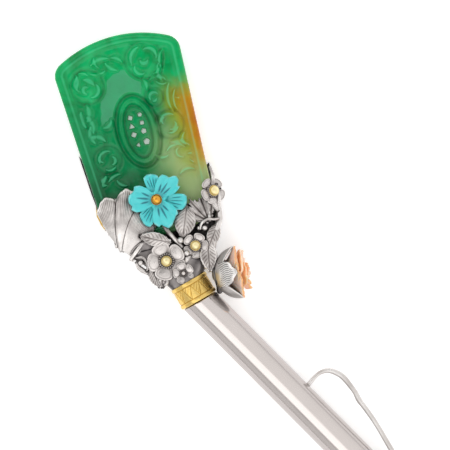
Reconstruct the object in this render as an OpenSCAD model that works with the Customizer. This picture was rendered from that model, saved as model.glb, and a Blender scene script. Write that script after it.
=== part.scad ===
// Binyeo hairpin: a carved jade plaque in an oxidised silver mount of leaves and blossoms, on a round
// silver shaft. Millimetres. The hairpin lies on its back: +X runs from the head to the tip of the shaft,
// +Z is the front of the plaque. The head is drawn upright in its own plane, u to the right and v up.

/* [Jade plaque] */
// Widest part of the plaque, at its shoulders
plaque_w = 30.6; // [30:0.1:31]
// Width of the plaque above its rounded foot
plaque_low_w = 27.3; // [27:0.1:27.6]
// Height of the plaque, with the foot that the mount hides
plaque_h = 48.5; // [47.5:0.1:49]
// Thickness of the plaque at its raised border
plaque_t = 4.6; // [4:0.1:4.8]
// Radius of the arched top
arch_r = 29; // [28:0.5:31]
// Height of the carved relief above its ground
relief_h = 0.7; // [0.4:0.1:0.8]

/* [Silver mount] */
// Thickness of the back plate
plate_t = 0.8; // [0.6:0.1:1]
// Height of the tray wall round the foot of the plaque
wall_h = 6.2; // [6:0.1:6.4]
// Thickness of the sheet silver leaves and petals
leaf_t = 0.7; // [0.5:0.1:0.8]

/* [Turquoise flower] */
// Reach of the three large petals
large_petal = 7.2; // [6.8:0.1:7.4]
// Reach of the three small petals
small_petal = 6.6; // [6:0.1:6.8]

/* [Ferrule and shaft] */
// Radius of the gold band
ferrule_r = 4.7; // [4.6:0.05:4.8]
// Length of the gold band
ferrule_h = 5.2; // [4.8:0.1:5.6]
// Radius of the shaft
shaft_r = 4.2; // [4:0.05:4.3]
// Length of the shaft from the ferrule to its tip
shaft_len = 112; // [100:1:130]
// Angle between the head and the shaft
bend = 29.3; // [28:0.1:31]

/* [Prong] */
// Radius of the prong's wire
prong_r = 0.62; // [0.5:0.02:0.7]

/* [Lotus cup] */
// Radius of the cup at its petal tips
cup_r = 6.6; // [6.2:0.1:6.7]
// Depth of the cup
cup_h = 6; // [5.6:0.1:6.4]

/* [Hidden] */

gap = 0.05;                           // between pieces that meet
plaque_top = 65.7;                    // v of the top of the arch
plaque_foot = plaque_top - plaque_h;
plaque_z = plate_t + gap;
ground_z = plaque_z + plaque_t - relief_h;
corner_r = 3.6;                       // shoulders
foot_r = 8;                           // corners of the hidden foot
axis_z = ferrule_r + gap;             // height of the shaft's axis at the ferrule
tenon_r = ferrule_r - 0.75;           // pegs of the socket and the shaft inside the ferrule
band_mid = [2.98, 2.55];              // middle of the ferrule
band_turn = bend / 2;                 // the ferrule halves the bend
root = band_mid + ferrule_h / 2 * [sin(band_turn), -cos(band_turn)];
tip_r = 2.9;                          // shaft radius at its rounded tip
straight_len = 60;                    // length of the shaft before it tapers
// Radius that the shaft loses, by the square of the way past its straight length
taper = (shaft_r - tip_r) / pow(shaft_len - tip_r - straight_len, 2);
// The shaft slopes down until its underside, just past the straight length, comes to the floor
dip = atan(2 * taper * (sqrt(pow(straight_len, 2) + (axis_z - shaft_r - gap / 5) / taper) - straight_len));

// The frame of the whole piece: middle of its outer box, worked out from what reaches furthest
turn = 90 - bend;
arch_mid = [0, plaque_top - arch_r];
shoulder_u = plaque_w / 2 - corner_r;
shoulder_v = arch_mid.y + sqrt(pow(arch_r - corner_r, 2) - pow(shoulder_u, 2));
function along(p) = (p.x - root.x) * cos(turn) - (p.y - root.y) * sin(turn);
function across(p) = (p.x - root.x) * sin(turn) + (p.y - root.y) * cos(turn);
side_reach = 5.12;                    // from the shaft's axis to the outer edge of the lotus leaf's tip
mid_x = (shaft_len + along([-shoulder_u, shoulder_v]) - corner_r) / 2;
mid_y = (across([shoulder_u, shoulder_v]) + corner_r - side_reach) / 2;

module on_shaft() translate([-mid_x, -mid_y, 0]) children();
module on_axis() on_shaft() translate([0, 0, axis_z]) rotate([0, dip, 0]) children();
module on_head() on_shaft() rotate(turn) translate([-root.x, -root.y, 0]) children();

function arc(c, r, a, b, n) =
    [for (i = [0:n]) let (q = a + (b - a) * i / n) c + r * [cos(q), sin(q)]];

// Outline of the plaque, drawn d inside its edge
function plaque_outline(d) =
    let (lean = atan2(shoulder_v - arch_mid.y, shoulder_u), low = plaque_low_w / 2 - foot_r)
    concat(
        arc([shoulder_u, shoulder_v], corner_r - d, 0, lean, 6),
        arc(arch_mid, arch_r - d, lean, 180 - lean, 28),
        arc([-shoulder_u, shoulder_v], corner_r - d, 180 - lean, 180, 6),
        arc([-low, plaque_foot + foot_r], foot_r - d, 180, 270, 10),
        arc([low, plaque_foot + foot_r], foot_r - d, 270, 360, 10));

module slab(outline, z, h) translate([0, 0, z]) linear_extrude(h) polygon(outline);

// A carved stroke: an arc that swells from a point to its full width and back. Columns: centre u, v,
// radius, start angle, end angle, width
STROKES = [
    [-8.5, 55.6, 2.4, 20, 200, 0.9], [-8.5, 55.6, 1.2, 190, 380, 0.8], [-8.6, 55.5, 2.5, 215, 350, 0.7],
    [6.2, 58.3, 2.9, 30, 190, 0.9], [6.2, 58.3, 1.5, 180, 380, 0.9], [6.2, 58.3, 3.0, 220, 350, 0.8],
    [-8.3, 37.7, 2.0, 60, 230, 0.8], [-8.3, 37.7, 1.0, 250, 440, 0.7], [-8.3, 37.7, 2.1, 250, 380, 0.7],
    [8.0, 42.1, 2.1, 30, 210, 0.8], [8.0, 42.1, 1.0, 210, 400, 0.7], [8.0, 42.1, 2.1, 230, 360, 0.7],
    [6.2, 49.2, 1.0, 20, 250, 0.7],
    [-3.0, 57.6, 3.0, 40, 140, 1.1], [-4.6, 60.6, 2.2, 200, 330, 1.0], [0.2, 60.2, 2.0, 120, 260, 1.0],
    [-12.4, 59.8, 3.4, 270, 350, 0.9], [11.8, 56.5, 3.2, 100, 200, 1.0], [7.2, 51.9, 2.0, 20, 170, 1.0],
    [2.9, 52.6, 2.4, 330, 450, 0.9], [14.6, 48.4, 5.6, 130, 215, 1.1], [13.2, 47.0, 3.0, 120, 220, 0.9],
    [-11.0, 50.4, 1.8, 60, 230, 1.0], [-9.4, 47.2, 1.9, 100, 260, 1.1], [-8.2, 44.8, 2.2, 190, 330, 1.0],
    [-12.2, 43.4, 1.9, 290, 440, 1.0], [-6.6, 47.4, 1.6, 300, 420, 0.9],
    [-11.4, 34.2, 2.2, 250, 350, 1.0], [-8.4, 31.6, 2.6, 160, 280, 1.2], [-5.6, 33.4, 2.0, 180, 290, 1.0],
    [8.4, 34.4, 3.4, 30, 120, 1.1], [8.4, 34.4, 1.8, 60, 190, 0.9], [9.6, 31.4, 3.2, 290, 400, 1.1],
    [5.2, 36.6, 1.8, 200, 320, 0.9], [11.6, 37.2, 1.8, 90, 230, 0.9], [9.2, 28.6, 1.9, 60, 220, 1.0]];

function stroke_outline(s, n = 10) =
    let (c = [s[0], s[1]],
         edge = function (side, i)
             let (t = i / n, a = s[3] + (s[4] - s[3]) * t, half = s[5] / 2 * (0.15 + 0.85 * sin(180 * t)))
             c + (s[2] + side * half) * [cos(a), sin(a)])
    concat([for (i = [0:n]) edge(1, i)], [for (i = [n:-1:0]) edge(-1, i)]);

// Round carvings. Columns: centre u, v, radius
ROUNDELS = [[-8.5, 55.6, 3.9], [6.2, 58.3, 4.4], [-8.3, 37.7, 3.2], [8, 42.1, 3.3], [6.2, 49.2, 2.1]];

boss = [0.45, 42.4];                  // middle of the oval ring
// Openings in the pierced plate. Columns: u, v from the boss, width, corners, turn
PIERCINGS = [
    [-1.1, 3.6, 1.2, 4, 20], [1.3, 3.8, 1.0, 5, 0], [-1.3, 1.5, 1.4, 3, 90], [1.3, 1.8, 1.1, 4, 40],
    [-1.3, -0.5, 1.3, 4, 10], [1.2, -0.2, 1.2, 5, 30], [-0.9, -3.1, 1.1, 3, 60], [1.2, -2.8, 1.4, 5, 10]];

module oval(a, b, z, h) translate([boss.x, boss.y, z]) linear_extrude(h)
    polygon([for (i = [0:39]) [a * cos(9 * i), b * sin(9 * i)]]);

module jade_plaque() color("seagreen") on_head() difference() {
    union() {
        slab(plaque_outline(0), plaque_z, plaque_t - 1);
        slab(plaque_outline(0.6), plaque_z, plaque_t - 0.4);
        difference() {
            slab(plaque_outline(1.2), plaque_z, plaque_t);
            slab(plaque_outline(1.8), ground_z, 2);
        }
        for (r = ROUNDELS) translate([r[0], r[1], ground_z - 0.3]) difference() {
            cylinder(h = relief_h + 0.2, r = r[2], $fn = 48);
            cylinder(h = relief_h + 0.3, r = r[2] - 0.6, $fn = 48);
        }
        for (s = STROKES) slab(stroke_outline(s), ground_z - 0.3, relief_h + 0.3);
        oval(5.2, 8.8, ground_z - 0.3, 0.6);
        oval(4.4, 8, ground_z - 0.3, relief_h + 0.45);
    }
    oval(3.3, 6.7, ground_z - 0.9, 3);
    for (p = PIERCINGS) translate([boss.x + p[0], boss.y + p[1], 0])
        rotate(p[4]) cylinder(h = 9, r = p[2] / 2, $fn = p[3]);
}

// A closed sheet from a grid of points: g[i][j] with i along the piece and j across it
function sheet_faces(n, m) =
    let (t = function (i, j) i * m + j, b = function (i, j) n * m + i * m + j)
    concat(
        [for (i = [0:n - 2], j = [0:m - 2]) each [
            [t(i, j), t(i, j + 1), t(i + 1, j + 1)], [t(i, j), t(i + 1, j + 1), t(i + 1, j)],
            [b(i, j), b(i + 1, j + 1), b(i, j + 1)], [b(i, j), b(i + 1, j), b(i + 1, j + 1)]]],
        [for (i = [0:n - 2]) each [
            [t(i, 0), t(i + 1, 0), b(i + 1, 0)], [t(i, 0), b(i + 1, 0), b(i, 0)],
            [t(i + 1, m - 1), t(i, m - 1), b(i, m - 1)], [t(i + 1, m - 1), b(i, m - 1), b(i + 1, m - 1)]]],
        [for (j = [0:m - 2]) each [
            [t(0, j + 1), t(0, j), b(0, j)], [t(0, j + 1), b(0, j), b(0, j + 1)],
            [t(n - 1, j), t(n - 1, j + 1), b(n - 1, j + 1)], [t(n - 1, j), b(n - 1, j + 1), b(n - 1, j)]]]);

module sheet(g, thick) {
    top = [for (row = g) each row];
    polyhedron([each top, for (p = top) [p.x, 0.93 * p.y, p.z - thick]],
               sheet_faces(len(g), len(g[0])), convexity = 4);
}

// A blade of sheet silver along +X: a leaf at round = 1, a round petal at round = 0.5
module blade(l, w, round = 1, rise = 0.5, cup = -0.3, skew = 1, n = 8, m = 4, thick = leaf_t) {
    half = function (t) w / 2 * max(0.06, pow(sin(180 * pow(t, skew)), round));
    sheet([for (i = [0:n]) let (t = i / n) [for (j = [-m / 2:m / 2]) let (s = 2 * j / m)
        [l * t, half(t) * s, rise * sin(180 * t) + cup * s * s * half(t) * 2 / w]]], thick);
}

// The same blade from one point to another
module blade_at(from, to, w, round = 1, rise = 0.5, cup = -0.3, skew = 1, roll = 0, thick = leaf_t) {
    d = to - from;
    translate(from) rotate([0, -asin(d.z / norm(d)), atan2(d.y, d.x)]) rotate([roll, 0, 0])
        blade(norm(d), w, round, rise, cup, skew, thick = thick);
}

// A round wire through points: capsules, each tapered so that the next one's larger start covers its end
module wire(points, r) for (i = [0:len(points) - 2]) hull() {
    translate(points[i]) sphere(r, $fn = 8);
    translate(points[i + 1]) sphere(r * 0.85, $fn = 8);
}

// Leaves. Columns: base, tip, width, roundness, rise, cup, skew, roll
LEAVES = [
    [[6.9, 22.4, 6.8], [3.7, 15.3, 7.5], 4.8, 0.75, 0.9, -0.5, 0.9, 0],
    [[1.0, 14.9, 8.1], [-5.7, 18.3, 7.7], 3.0, 0.8, 0.9, -0.4, 1, 0],
    [[-8.8, 14.8, 6.97], [-2.2, 14.6, 7.3], 3.8, 0.7, -0.2, 0.3, 1, 0],
    [[13.2, 18.6, 6.6], [10.2, 10.4, 7.4], 2.9, 0.8, 0.7, -0.4, 1, 0],
    [[8.8, 13.1, 7.2], [7.8, 5.9, 7.9], 3.0, 0.8, 0.6, -0.6, 1.1, 0],
    [[-4.3, 13.2, 6.6], [-8.0, 10.9, 6.4], 2.6, 0.7, 0.6, -0.3, 1, 0],
    [[-3.2, 11.8, 7.0], [-5.9, 7.3, 6.0], 2.8, 0.7, 0.6, -0.4, 1, 0],
    [[-2.0, 9.8, 7.4], [-3.4, 4.9, 6.4], 2.8, 0.7, 0.6, -0.4, 1, 0]];

// Rim of the lobed leaf at the right, seen from its stalk: angle, radius
lobed_hub = [10.9, 17.2];
LOBED_RIM = [[55, 2.4], [66, 4.8], [76, 3.6], [94, 6], [104, 4.3], [117, 6.9], [127, 4], [136, 5.2],
             [147, 2.4]];
lobed_z = 7;

module lobed_leaf() {
    n = 5;
    m = 24;
    translate([lobed_hub.x, lobed_hub.y, 0]) sheet([for (i = [0:n]) [for (j = [0:m])
        let (q = 55 + 92 * j / m, t = 0.14 + 0.86 * i / n, r = lookup(q, LOBED_RIM) * t)
        [r * cos(q), r * sin(q), lobed_z + 0.9 * t * (1.2 - t) + 0.12 * sin(q * 15) * t]]], leaf_t);
}

// Blossoms. Columns: centre, petal reach, first petal's angle, tilt about +V
BLOSSOMS = [
    [[-1.2, 11, 8.1], 4.5, 100, 0],
    [[6.3, 12.7, 7.9], 2.9, 52, 0],
    [[13.6, 24, 6.9], 3.2, 100, 28],
    [[1.9, 7.2, 8.6], 2.2, 21, 0]];

bead_lift = 0.65;                     // the beads sit on discs that stand proud of the petals
post_h = 1.6;                         // from a blossom's middle down into what carries it

// A closed bowl from rings of points, outside and inside, and the two points at its middle
module bowl(outer, inner, mid_outer, mid_inner) {
    n = len(outer) - 1;
    m = len(outer[0]);
    o = function (i, j) i * m + j % m;
    v = function (i, j) (n + 1) * m + i * m + j % m;
    mid = 2 * (n + 1) * m;
    polyhedron(
        concat([for (r = outer) each r], [for (r = inner) each r], [mid_outer, mid_inner]),
        concat(
            [for (i = [0:n - 1], j = [0:m - 1]) each [
                [o(i + 1, j), o(i + 1, j + 1), o(i, j + 1)], [o(i + 1, j), o(i, j + 1), o(i, j)],
                [v(i, j), v(i, j + 1), v(i + 1, j + 1)], [v(i, j), v(i + 1, j + 1), v(i + 1, j)]]],
            [for (j = [0:m - 1]) each [
                [v(n, j), v(n, j + 1), o(n, j + 1)], [v(n, j), o(n, j + 1), o(n, j)],
                [mid, o(0, j), o(0, j + 1)], [mid + 1, v(0, j + 1), v(0, j)]]]),
        convexity = 4);
}

// Five round cupped petals in one sheet, on a short post with a disc for the bead
module blossom(b) translate(b[0]) rotate([0, b[3], 0]) {
    n = 4;
    m = 40;
    ring = function (i, under) [for (j = [0:m - 1])
        let (q = 360 * j / m, k = abs(cos(2.5 * (q - b[2]))), t = 0.2 + 0.8 * i / n,
             r = b[1] * t * (1 - 0.42 * (1 - pow(k, 0.6)) * t))
        [r * (1 - 0.08 * under) * cos(q), r * (1 - 0.08 * under) * sin(q),
         0.1 + 0.55 * t * t - 0.5 * (1 - k) * t - leaf_t * under]];
    bowl([for (i = [0:n]) ring(i, 1)], [for (i = [0:n]) ring(i, 0)], [0, 0, -leaf_t], [0, 0, 0.1]);
    translate([0, 0, -post_h]) cylinder(h = post_h + bead_lift, r = b[1] * 0.33, $fn = 13);
}

// Rim of the lotus leaf, seen from the point that its folds run to: angle, radius
lotus_hub = [-11.9, 12.6];
LOTUS_RIM = [[20, 8.5], [34, 12.6], [45, 14.6], [56, 16.6], [64, 17.8], [72, 18.3], [77, 16.8], [80, 15.6],
             [84, 16.4], [89, 16.5], [94, 15.4], [99, 14]];
lotus_hub_r = 3.6;
lotus_low = 5.7;                      // underside, clear of the plaque
lotus_rise = 2.9;

// The leaf is domed over its middle, creased along two folds, and turned down at its rim
function lotus_point(a, b) =
    let (right = 21 + 12 * b, left = 80 + 18.5 * (1 - pow(1 - b, 3.5)),
         q = right + (left - right) * a, r = lotus_hub_r + (lookup(q, LOTUS_RIM) - lotus_hub_r) * b,
         fold = min(1, abs(q - 79 - 6 * (1 - b)) / 5) * min(1, abs(q - 57 - 14 * (1 - b)) / 5),
         dome = exp(-pow((q - 74) / 30, 2) - pow((b - 0.4) / 0.52, 2)))
    [lotus_hub.x + r * cos(q), lotus_hub.y + r * sin(q), lotus_low + lotus_rise * dome + 0.3 * fold];

module lotus_leaf() {
    n = 9;
    m = 20;
    g = [for (i = [0:n]) [for (j = [0:m]) lotus_point(j / m, i / n)]];
    top = [for (row = g) each row];
    polyhedron([each top, for (p = top) [p.x, p.y, lotus_low]], sheet_faces(n + 1, m + 1), convexity = 4);
}

// Outer edge of the tray, from the ferrule up the left side, then down the right side
TRAY_LEFT = [[-2.2, 5.6], [-4.2, 7.4], [-6.4, 11.2], [-8.7, 13.7], [-10.9, 17.1], [-12.7, 20.8],
             [-14.1, 26]];
TRAY_RIGHT = [[14.3, 26], [14.1, 21], [12.6, 16], [10.6, 11.6], [8.8, 8.4], [7.2, 6.9]];
BACK_TOP = [[-14.6, 31], [-15.1, 40.7], [-13.2, 37], [-11, 32], [-4, 28], [6, 28], [12, 29.6], [14.6, 31]];

module tray() {
    slab(concat(TRAY_LEFT, BACK_TOP, TRAY_RIGHT), 0, plate_t);
    difference() {
        slab(concat(TRAY_LEFT, TRAY_RIGHT), 0, wall_h);
        slab(plaque_outline(-gap), plate_t, 9);
        translate([-13, 25, plate_t]) cube([26, 4, 9]);
    }
}

module socket() hull() {
    translate([band_mid.x, band_mid.y, axis_z]) rotate(band_turn) rotate([-90, 0, 0])
        translate([0, 0, ferrule_h / 2 + gap]) cylinder(h = 0.5, r = ferrule_r - 0.3, $fn = 32);
    for (u = [-4.8, 9]) translate([u, 12.6, 3.9]) sphere(3.6, $fn = 16);
}

module socket_peg() translate([band_mid.x, band_mid.y, axis_z]) rotate(band_turn) rotate([-90, 0, 0])
    translate([0, 0, gap]) cylinder(h = ferrule_h / 2 + 1, r = tenon_r, $fn = 32);

// Stems and tendrils. Columns: points, radius
WIRES = [
    [[[0.4, 21, 6.3], [0.6, 18.6, 7.2], [3.1, 13.2, 7.1]], 0.55],
    [[[-4.6, 23.6, 6.15], [0.4, 25.2, 6.2], [5.8, 21.4, 6.6]], 0.42],
    [[[13.7, 26, 6.6], [14.2, 28, 6.4], [14.1, 29.8, 6.2]], 0.45],
    [[[14.3, 18, 5.6], [14.4, 23, 6], [14.6, 27, 5.4]], 0.5],
    [[[12.2, 17, 7.2], [10, 16.6, 7.8], [8.2, 14.6, 7.4]], 0.42],
    [[[9.8, 18.4, 7.2], [9.4, 16.4, 7.6]], 0.4]];

// Small balls. Columns: place, radius
BALLS = [
    [[3.2, 14.9, 7.55], 0.85], [[9.5, 16.2, 7.9], 0.62], [[3.6, 11.2, 8.4], 0.8], [[-7.5, 12.1, 6.7], 0.9]];

flower = [0.4, 25.5];                 // middle of the turquoise flower
flower_z = 8.6;
flower_seat_z = 5.75;                 // clear of the plaque's border

module silver_mount() color("silver") on_head() union() {
    tray();
    socket();
    socket_peg();
    lotus_leaf();
    lobed_leaf();
    for (l = LEAVES) blade_at(l[0], l[1], l[2], l[3], l[4], l[5], l[6], l[7]);
    for (b = BLOSSOMS) blossom(b);
    for (w = WIRES) wire(w[0], w[1]);
    for (b = BALLS) translate(b[0]) sphere(b[1], $fn = 10);
    translate([flower.x, flower.y, flower_seat_z]) cylinder(h = 0.9, r = 1.8, $fn = 16);
}

GILT = [[-14.3, 28.4], [-14.75, 25.6], [-13.9, 21.6], [-12.9, 19.6], [-13.2, 21.6], [-14.2, 26]];

module gilt_leaf() color("goldenrod") on_head() slab(GILT, plate_t + gap, 0.7);

petal_start = 0.9;                    // the petals spring from the disc at the centre
// Turquoise petals. Columns: angle, reach, width, height, notch
PETALS = [
    [162.5, large_petal - 0.5, 6.8, 0, 0.14], [41.5, large_petal, 6.4, 0, 0.14],
    [-77.5, large_petal, 7, 0, 0.14], [89.5, small_petal - 0.3, 4.4, -1, 0.08],
    [-21.5, small_petal + 0.2, 5, -1, 0.08], [224.5, small_petal, 4.8, -0.6, 0.08]];

module heart_petal(l, w, notch) {
    n = 8;
    m = 8;
    half = function (t) w / 2 * (0.15 + 0.85 * sin(min(90, 115 * t))) * (1 - 0.3 * pow(t, 6));
    sheet([for (i = [0:n]) let (t = i / n) [for (j = [-m / 2:m / 2]) let (s = 2 * j / m)
        [petal_start + (l - petal_start) * t * (1 - notch * pow(t, 3) * pow(1 - abs(s), 2)
            - 0.16 * pow(t, 3) * pow(abs(s), 3)),
         half(t) * s, 0.3 * sin(180 * t) + 0.35 * t * t + 0.3 * s * s * t]]], 0.85);
}

module turquoise_flower() color("mediumturquoise") on_head() translate([flower.x, flower.y, flower_z]) {
    translate([0, 0, -1.9]) cylinder(h = 2.1, r = 1.5, $fn = 13);
    for (p = PETALS) translate([0, 0, p[3]]) rotate(p[0]) heart_petal(p[1], p[2], p[4]);
}

// A gold dome in a thin collar, on a flower's centre: place, height above it, radius, tilt about +V
module bead(place, lift, r, tilt = 0) on_head() translate(place) rotate([0, tilt, 0])
    translate([0, 0, lift + gap]) intersection() {
        union() {
            cylinder(h = 0.35, r = r, $fn = 32);
            sphere(r * 0.88, $fn = 32);
        }
        cylinder(h = 3, r = r, $fn = 32);
    }

module turquoise_bead() color("orange") bead([flower.x, flower.y, flower_z], 0.2, 1.3);
module plum_bead() color("gold") bead(BLOSSOMS[0][0], bead_lift, 1.25);
module small_blossom_bead() color("gold") bead(BLOSSOMS[1][0], bead_lift, 1.2);
module side_blossom_bead() color("gold") bead(BLOSSOMS[2][0], bead_lift, 1.3, BLOSSOMS[2][3]);

module gold_ferrule() color("gold") on_head() translate([band_mid.x, band_mid.y, axis_z])
    rotate(band_turn) rotate([90, 0, 0]) difference() {
        union() {
            cylinder(h = ferrule_h, r = ferrule_r - 0.2, center = true, $fn = 64);
            for (z = [-1, 1]) translate([0, 0, z * (ferrule_h / 2 - 0.45)])
                cylinder(h = 0.9, r = ferrule_r, center = true, $fn = 64);
        }
        cylinder(h = ferrule_h + 1, r = tenon_r + gap, center = true, $fn = 64);
    }

shaft_stub = 4;                       // beyond the slanting cut that meets the ferrule

module shaft_body() on_axis() rotate([0, 90, 0]) rotate_extrude($fn = 96) polygon(concat(
    [[0, -shaft_stub], [shaft_r, -shaft_stub], [shaft_r, straight_len]],
    [for (i = [1:8]) [shaft_r - (shaft_r - tip_r) * i * i / 64,
                      straight_len + (shaft_len - tip_r - straight_len) * i / 8]],
    [for (i = [1:8]) [tip_r * cos(90 * i / 8), shaft_len - tip_r + tip_r * sin(90 * i / 8)]]));

module shaft() color("gainsboro") {
    difference() {
        shaft_body();
        on_shaft() rotate(-band_turn) translate([-20 + gap, -20, -5]) cube([20, 40, 30]);
    }
    on_shaft() translate([0, 0, axis_z]) rotate(-band_turn) rotate([0, 90, 0])
        translate([0, 0, gap - ferrule_h / 2]) cylinder(h = ferrule_h / 2 + 0.4, r = tenon_r, $fn = 64);
}

// Route of the prong beside the shaft. Columns: along the shaft, across it, swell of the wire at a knot
PRONG = [[32.5, 4.4, 0.8], [32.3, 6.6, 0.8], [32.5, 8.4, 0.85], [33.5, 10, 1], [35.2, 10.9, 1.1],
         [37, 11.3, 1.15], [39.6, 11.1, 1.1], [41.6, 10.8, 1.05], [43.5, 10.2, 1.15], [46.2, 9.8, 1],
         [50.7, 9, 1], [57, 7.4, 1], [62, 6.1, 0.95], [64.6, 5.6, 0.9], [66, 5.8, 0.7]];

module hair_prong() color("silver") on_axis() {
    sides = 8;
    n = len(PRONG);
    dir = function (i)
        let (d = PRONG[min(n - 1, i + 1)] - PRONG[max(0, i - 1)]) [d.x, d.y] / norm([d.x, d.y]);
    ring = function (i) [for (k = [0:sides - 1])
        let (q = 360 * k / sides, r = prong_r * PRONG[i].z, d = dir(i))
        [PRONG[i].x - d.y * r * cos(q), PRONG[i].y + d.x * r * cos(q), r * sin(q)]];
    polyhedron([for (i = [0:n - 1]) each ring(i)], concat(
        [[for (k = [0:sides - 1]) k]],
        [for (i = [0:n - 2], k = [0:sides - 1]) let (k2 = (k + 1) % sides)
            [i * sides + k, (i + 1) * sides + k, (i + 1) * sides + k2, i * sides + k2]],
        [[for (k = [sides - 1:-1:0]) (n - 1) * sides + k]]), convexity = 6);
}

// The lotus cup opens sideways. In its own frame its axis is +Z and the front of the hairpin is +X
cup_foot = [8.5, 4.86];
cup_lean = -8.5;
cup_z = cup_r + 0.1;
module on_cup() on_head() translate([cup_foot.x, cup_foot.y, cup_z])
    rotate(cup_lean) rotate([0, 90, 0]) rotate(180) children();

// Profile of the cup at height h: radius
function cup_radius(h) = cup_r * sqrt(max(0, 1 - pow(1 - h / cup_h, 2)));

// Height of the rim at an angle: four petals, of which the front one is broad and the others are pointed
cup_notch = 1.75;
function rim_height(q) =
    let (k = round(q / 90), d = abs(q / 90 - k) * 2, blunt = k % 4 == 0 ? 2.4 : 1.3)
    cup_notch + (cup_h - cup_notch) * (1 - pow(d, blunt));

module cup_shell() {
    n = 6;
    m = 40;
    wall = 0.6;
    foot_h = 0.25;                    // height of the lowest ring
    ring = function (i, drop) [for (j = [0:m - 1])
        let (q = 360 * j / m, h = foot_h + (rim_height(q) - foot_h) * 0.995 * i / n,
             r = cup_radius(h) - drop)
        [r * cos(q), r * sin(q), h + drop * (1 - i / n)]];
    bowl([for (i = [0:n]) ring(i, 0)], [for (i = [0:n]) ring(i, wall)], [0, 0, 0], [0, 0, wall + 0.1]);
}

module lotus_cup() color("silver") {
    on_cup() cup_shell();
    on_head() hull() {
        translate([9.05, 0.7, axis_z]) sphere(0.8, $fn = 10);
        translate([9.45, 1.1, axis_z + 0.4]) sphere(0.55, $fn = 10);
    }
}

// Coral petals. Columns: angle round the cup's axis, start radius, start height, tip radius, tip height,
// width, roundness
CORAL = [
    [262, 1.6, 2.6, 5.4, 6.2, 5.2, 0.6], [328, 1.5, 2.7, 5.1, 6.4, 4.8, 0.6],
    [40, 1.6, 2.5, 5.2, 6.3, 5, 0.6], [104, 1.5, 2.6, 5.3, 6.6, 5.2, 0.6], [172, 1.6, 2.4, 5.2, 6, 5, 0.6],
    [285, 0.8, 3.4, 3.9, 8.2, 4.2, 0.6], [10, 0.8, 3.6, 3.4, 8.1, 3.8, 0.6],
    [84, 0.8, 3.3, 3.8, 8.8, 3.6, 0.7], [190, 0.8, 3.5, 3.4, 8, 3.8, 0.6],
    [320, 0.2, 5, 1.3, 8.9, 2.8, 0.6], [140, 0.3, 4.9, 1.4, 8.8, 2.8, 0.6]];

module coral_flower() color("lightsalmon") on_cup() {
    translate([0, 0, 0.95]) cylinder(h = 4.6, r1 = 1.5, r2 = 2.6, $fn = 13);
    for (c = CORAL) rotate(c[0])
        blade_at([c[1], 0, c[2]], [c[3], 0, c[4]], c[5], c[6], 0.5, 0.7, 0.8, thick = 0.8);
}

jade_plaque();
silver_mount();
gilt_leaf();
turquoise_flower();
turquoise_bead();
plum_bead();
small_blossom_bead();
side_blossom_bead();
gold_ferrule();
lotus_cup();
coral_flower();
shaft();
hair_prong();
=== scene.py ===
import math

import bmesh
import bpy
import numpy as np
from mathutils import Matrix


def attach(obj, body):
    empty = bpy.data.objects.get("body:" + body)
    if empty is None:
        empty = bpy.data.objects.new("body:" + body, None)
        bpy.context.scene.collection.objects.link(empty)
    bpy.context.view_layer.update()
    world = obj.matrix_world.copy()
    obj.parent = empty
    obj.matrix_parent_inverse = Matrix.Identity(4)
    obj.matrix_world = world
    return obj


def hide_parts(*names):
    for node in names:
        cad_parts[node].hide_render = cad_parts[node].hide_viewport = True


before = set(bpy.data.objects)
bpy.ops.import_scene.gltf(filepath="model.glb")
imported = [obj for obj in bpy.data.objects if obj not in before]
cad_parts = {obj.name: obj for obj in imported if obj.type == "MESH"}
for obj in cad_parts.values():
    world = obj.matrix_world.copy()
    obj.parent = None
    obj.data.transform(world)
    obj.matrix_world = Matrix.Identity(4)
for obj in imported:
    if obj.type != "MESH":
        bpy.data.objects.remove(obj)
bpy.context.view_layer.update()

# Sizes of the CAD model in millimetres. Head frame: u to the right, v up the plaque, z to the front
BEND = math.radians(29.3)  # between the plaque's axis and the shaft's
TURN = math.pi / 2 - BEND  # from the head frame to the row's, where the shaft runs along x
BAND_TURN = BEND / 2  # the ferrule stands halfway between the two
BAND_MID = np.array([2.98, 2.55])
FERRULE_R, FERRULE_H = 4.7, 5.2
ROOT = BAND_MID + FERRULE_H / 2 * np.array([math.sin(BAND_TURN), -math.cos(BAND_TURN)])  # start of the shaft
MID = np.array([24.6293, 17.2437])  # middle of the hairpin's box, from that start
AXIS_Z = 4.75  # height of the shaft's axis at its start
DIP = math.radians(0.484)  # how the shaft leans down to rest on its tip
SHAFT_R, TIP_R, SHAFT_LEN, STRAIGHT = 4.2, 2.9, 112.0, 60.0
CUP_ROOT, CUP_TURN = [8.5, 4.86, 6.7], math.radians(-8.5)
CUP_R, CUP_DEEP = 6.6, 6.0
PLAQUE_TOP, PLAQUE_FOOT, ARCH_R, CORNER_R, FOOT_R = 65.7, 17.2, 29.0, 3.6, 8.0
PLAQUE_HALF, PLAQUE_LOW = 15.3, 13.65  # half its width at the shoulders and at the foot
PLAQUE_Z, GROUND_Z, FACE_Z = 0.85, 4.75, 5.45
BOSS = np.array([0.45, 42.4])  # centre of the oval boss on the plaque
BOSS_RING, BOSS_HOLLOW, BOSS_MOAT = (4.35, 7.95), (3.3, 6.7), (5.15, 8.8)  # its half widths and heights
FLOWER = np.array([0.4, 25.5, 8.6])  # centre of the turquoise flower
BACK_PLATE, TRAY_HIGH = 0.8, 6.0  # thickness of the mount's back plate, height of its tray's walls
SCROLL_PLATE, GILT_PLATE = (5.6, 6.45), (0.87, 1.53)  # from and to what height
LEAF_THICK, LOTUS_THICK, PETAL_THICK, WALL_THICK, CUP_THICK = 0.45, 0.6, 0.4, 0.7, 0.4
TURQUOISE_THICK, CORAL_THICK = 0.75, 0.6

pi = math.pi
MM = 0.001
DEGREE = pi / 180
CAP_RINGS = 4  # rings in a wire's round end
LEVEL = 0.0001  # open edges within this height of each other, in metres, belong to one end


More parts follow.
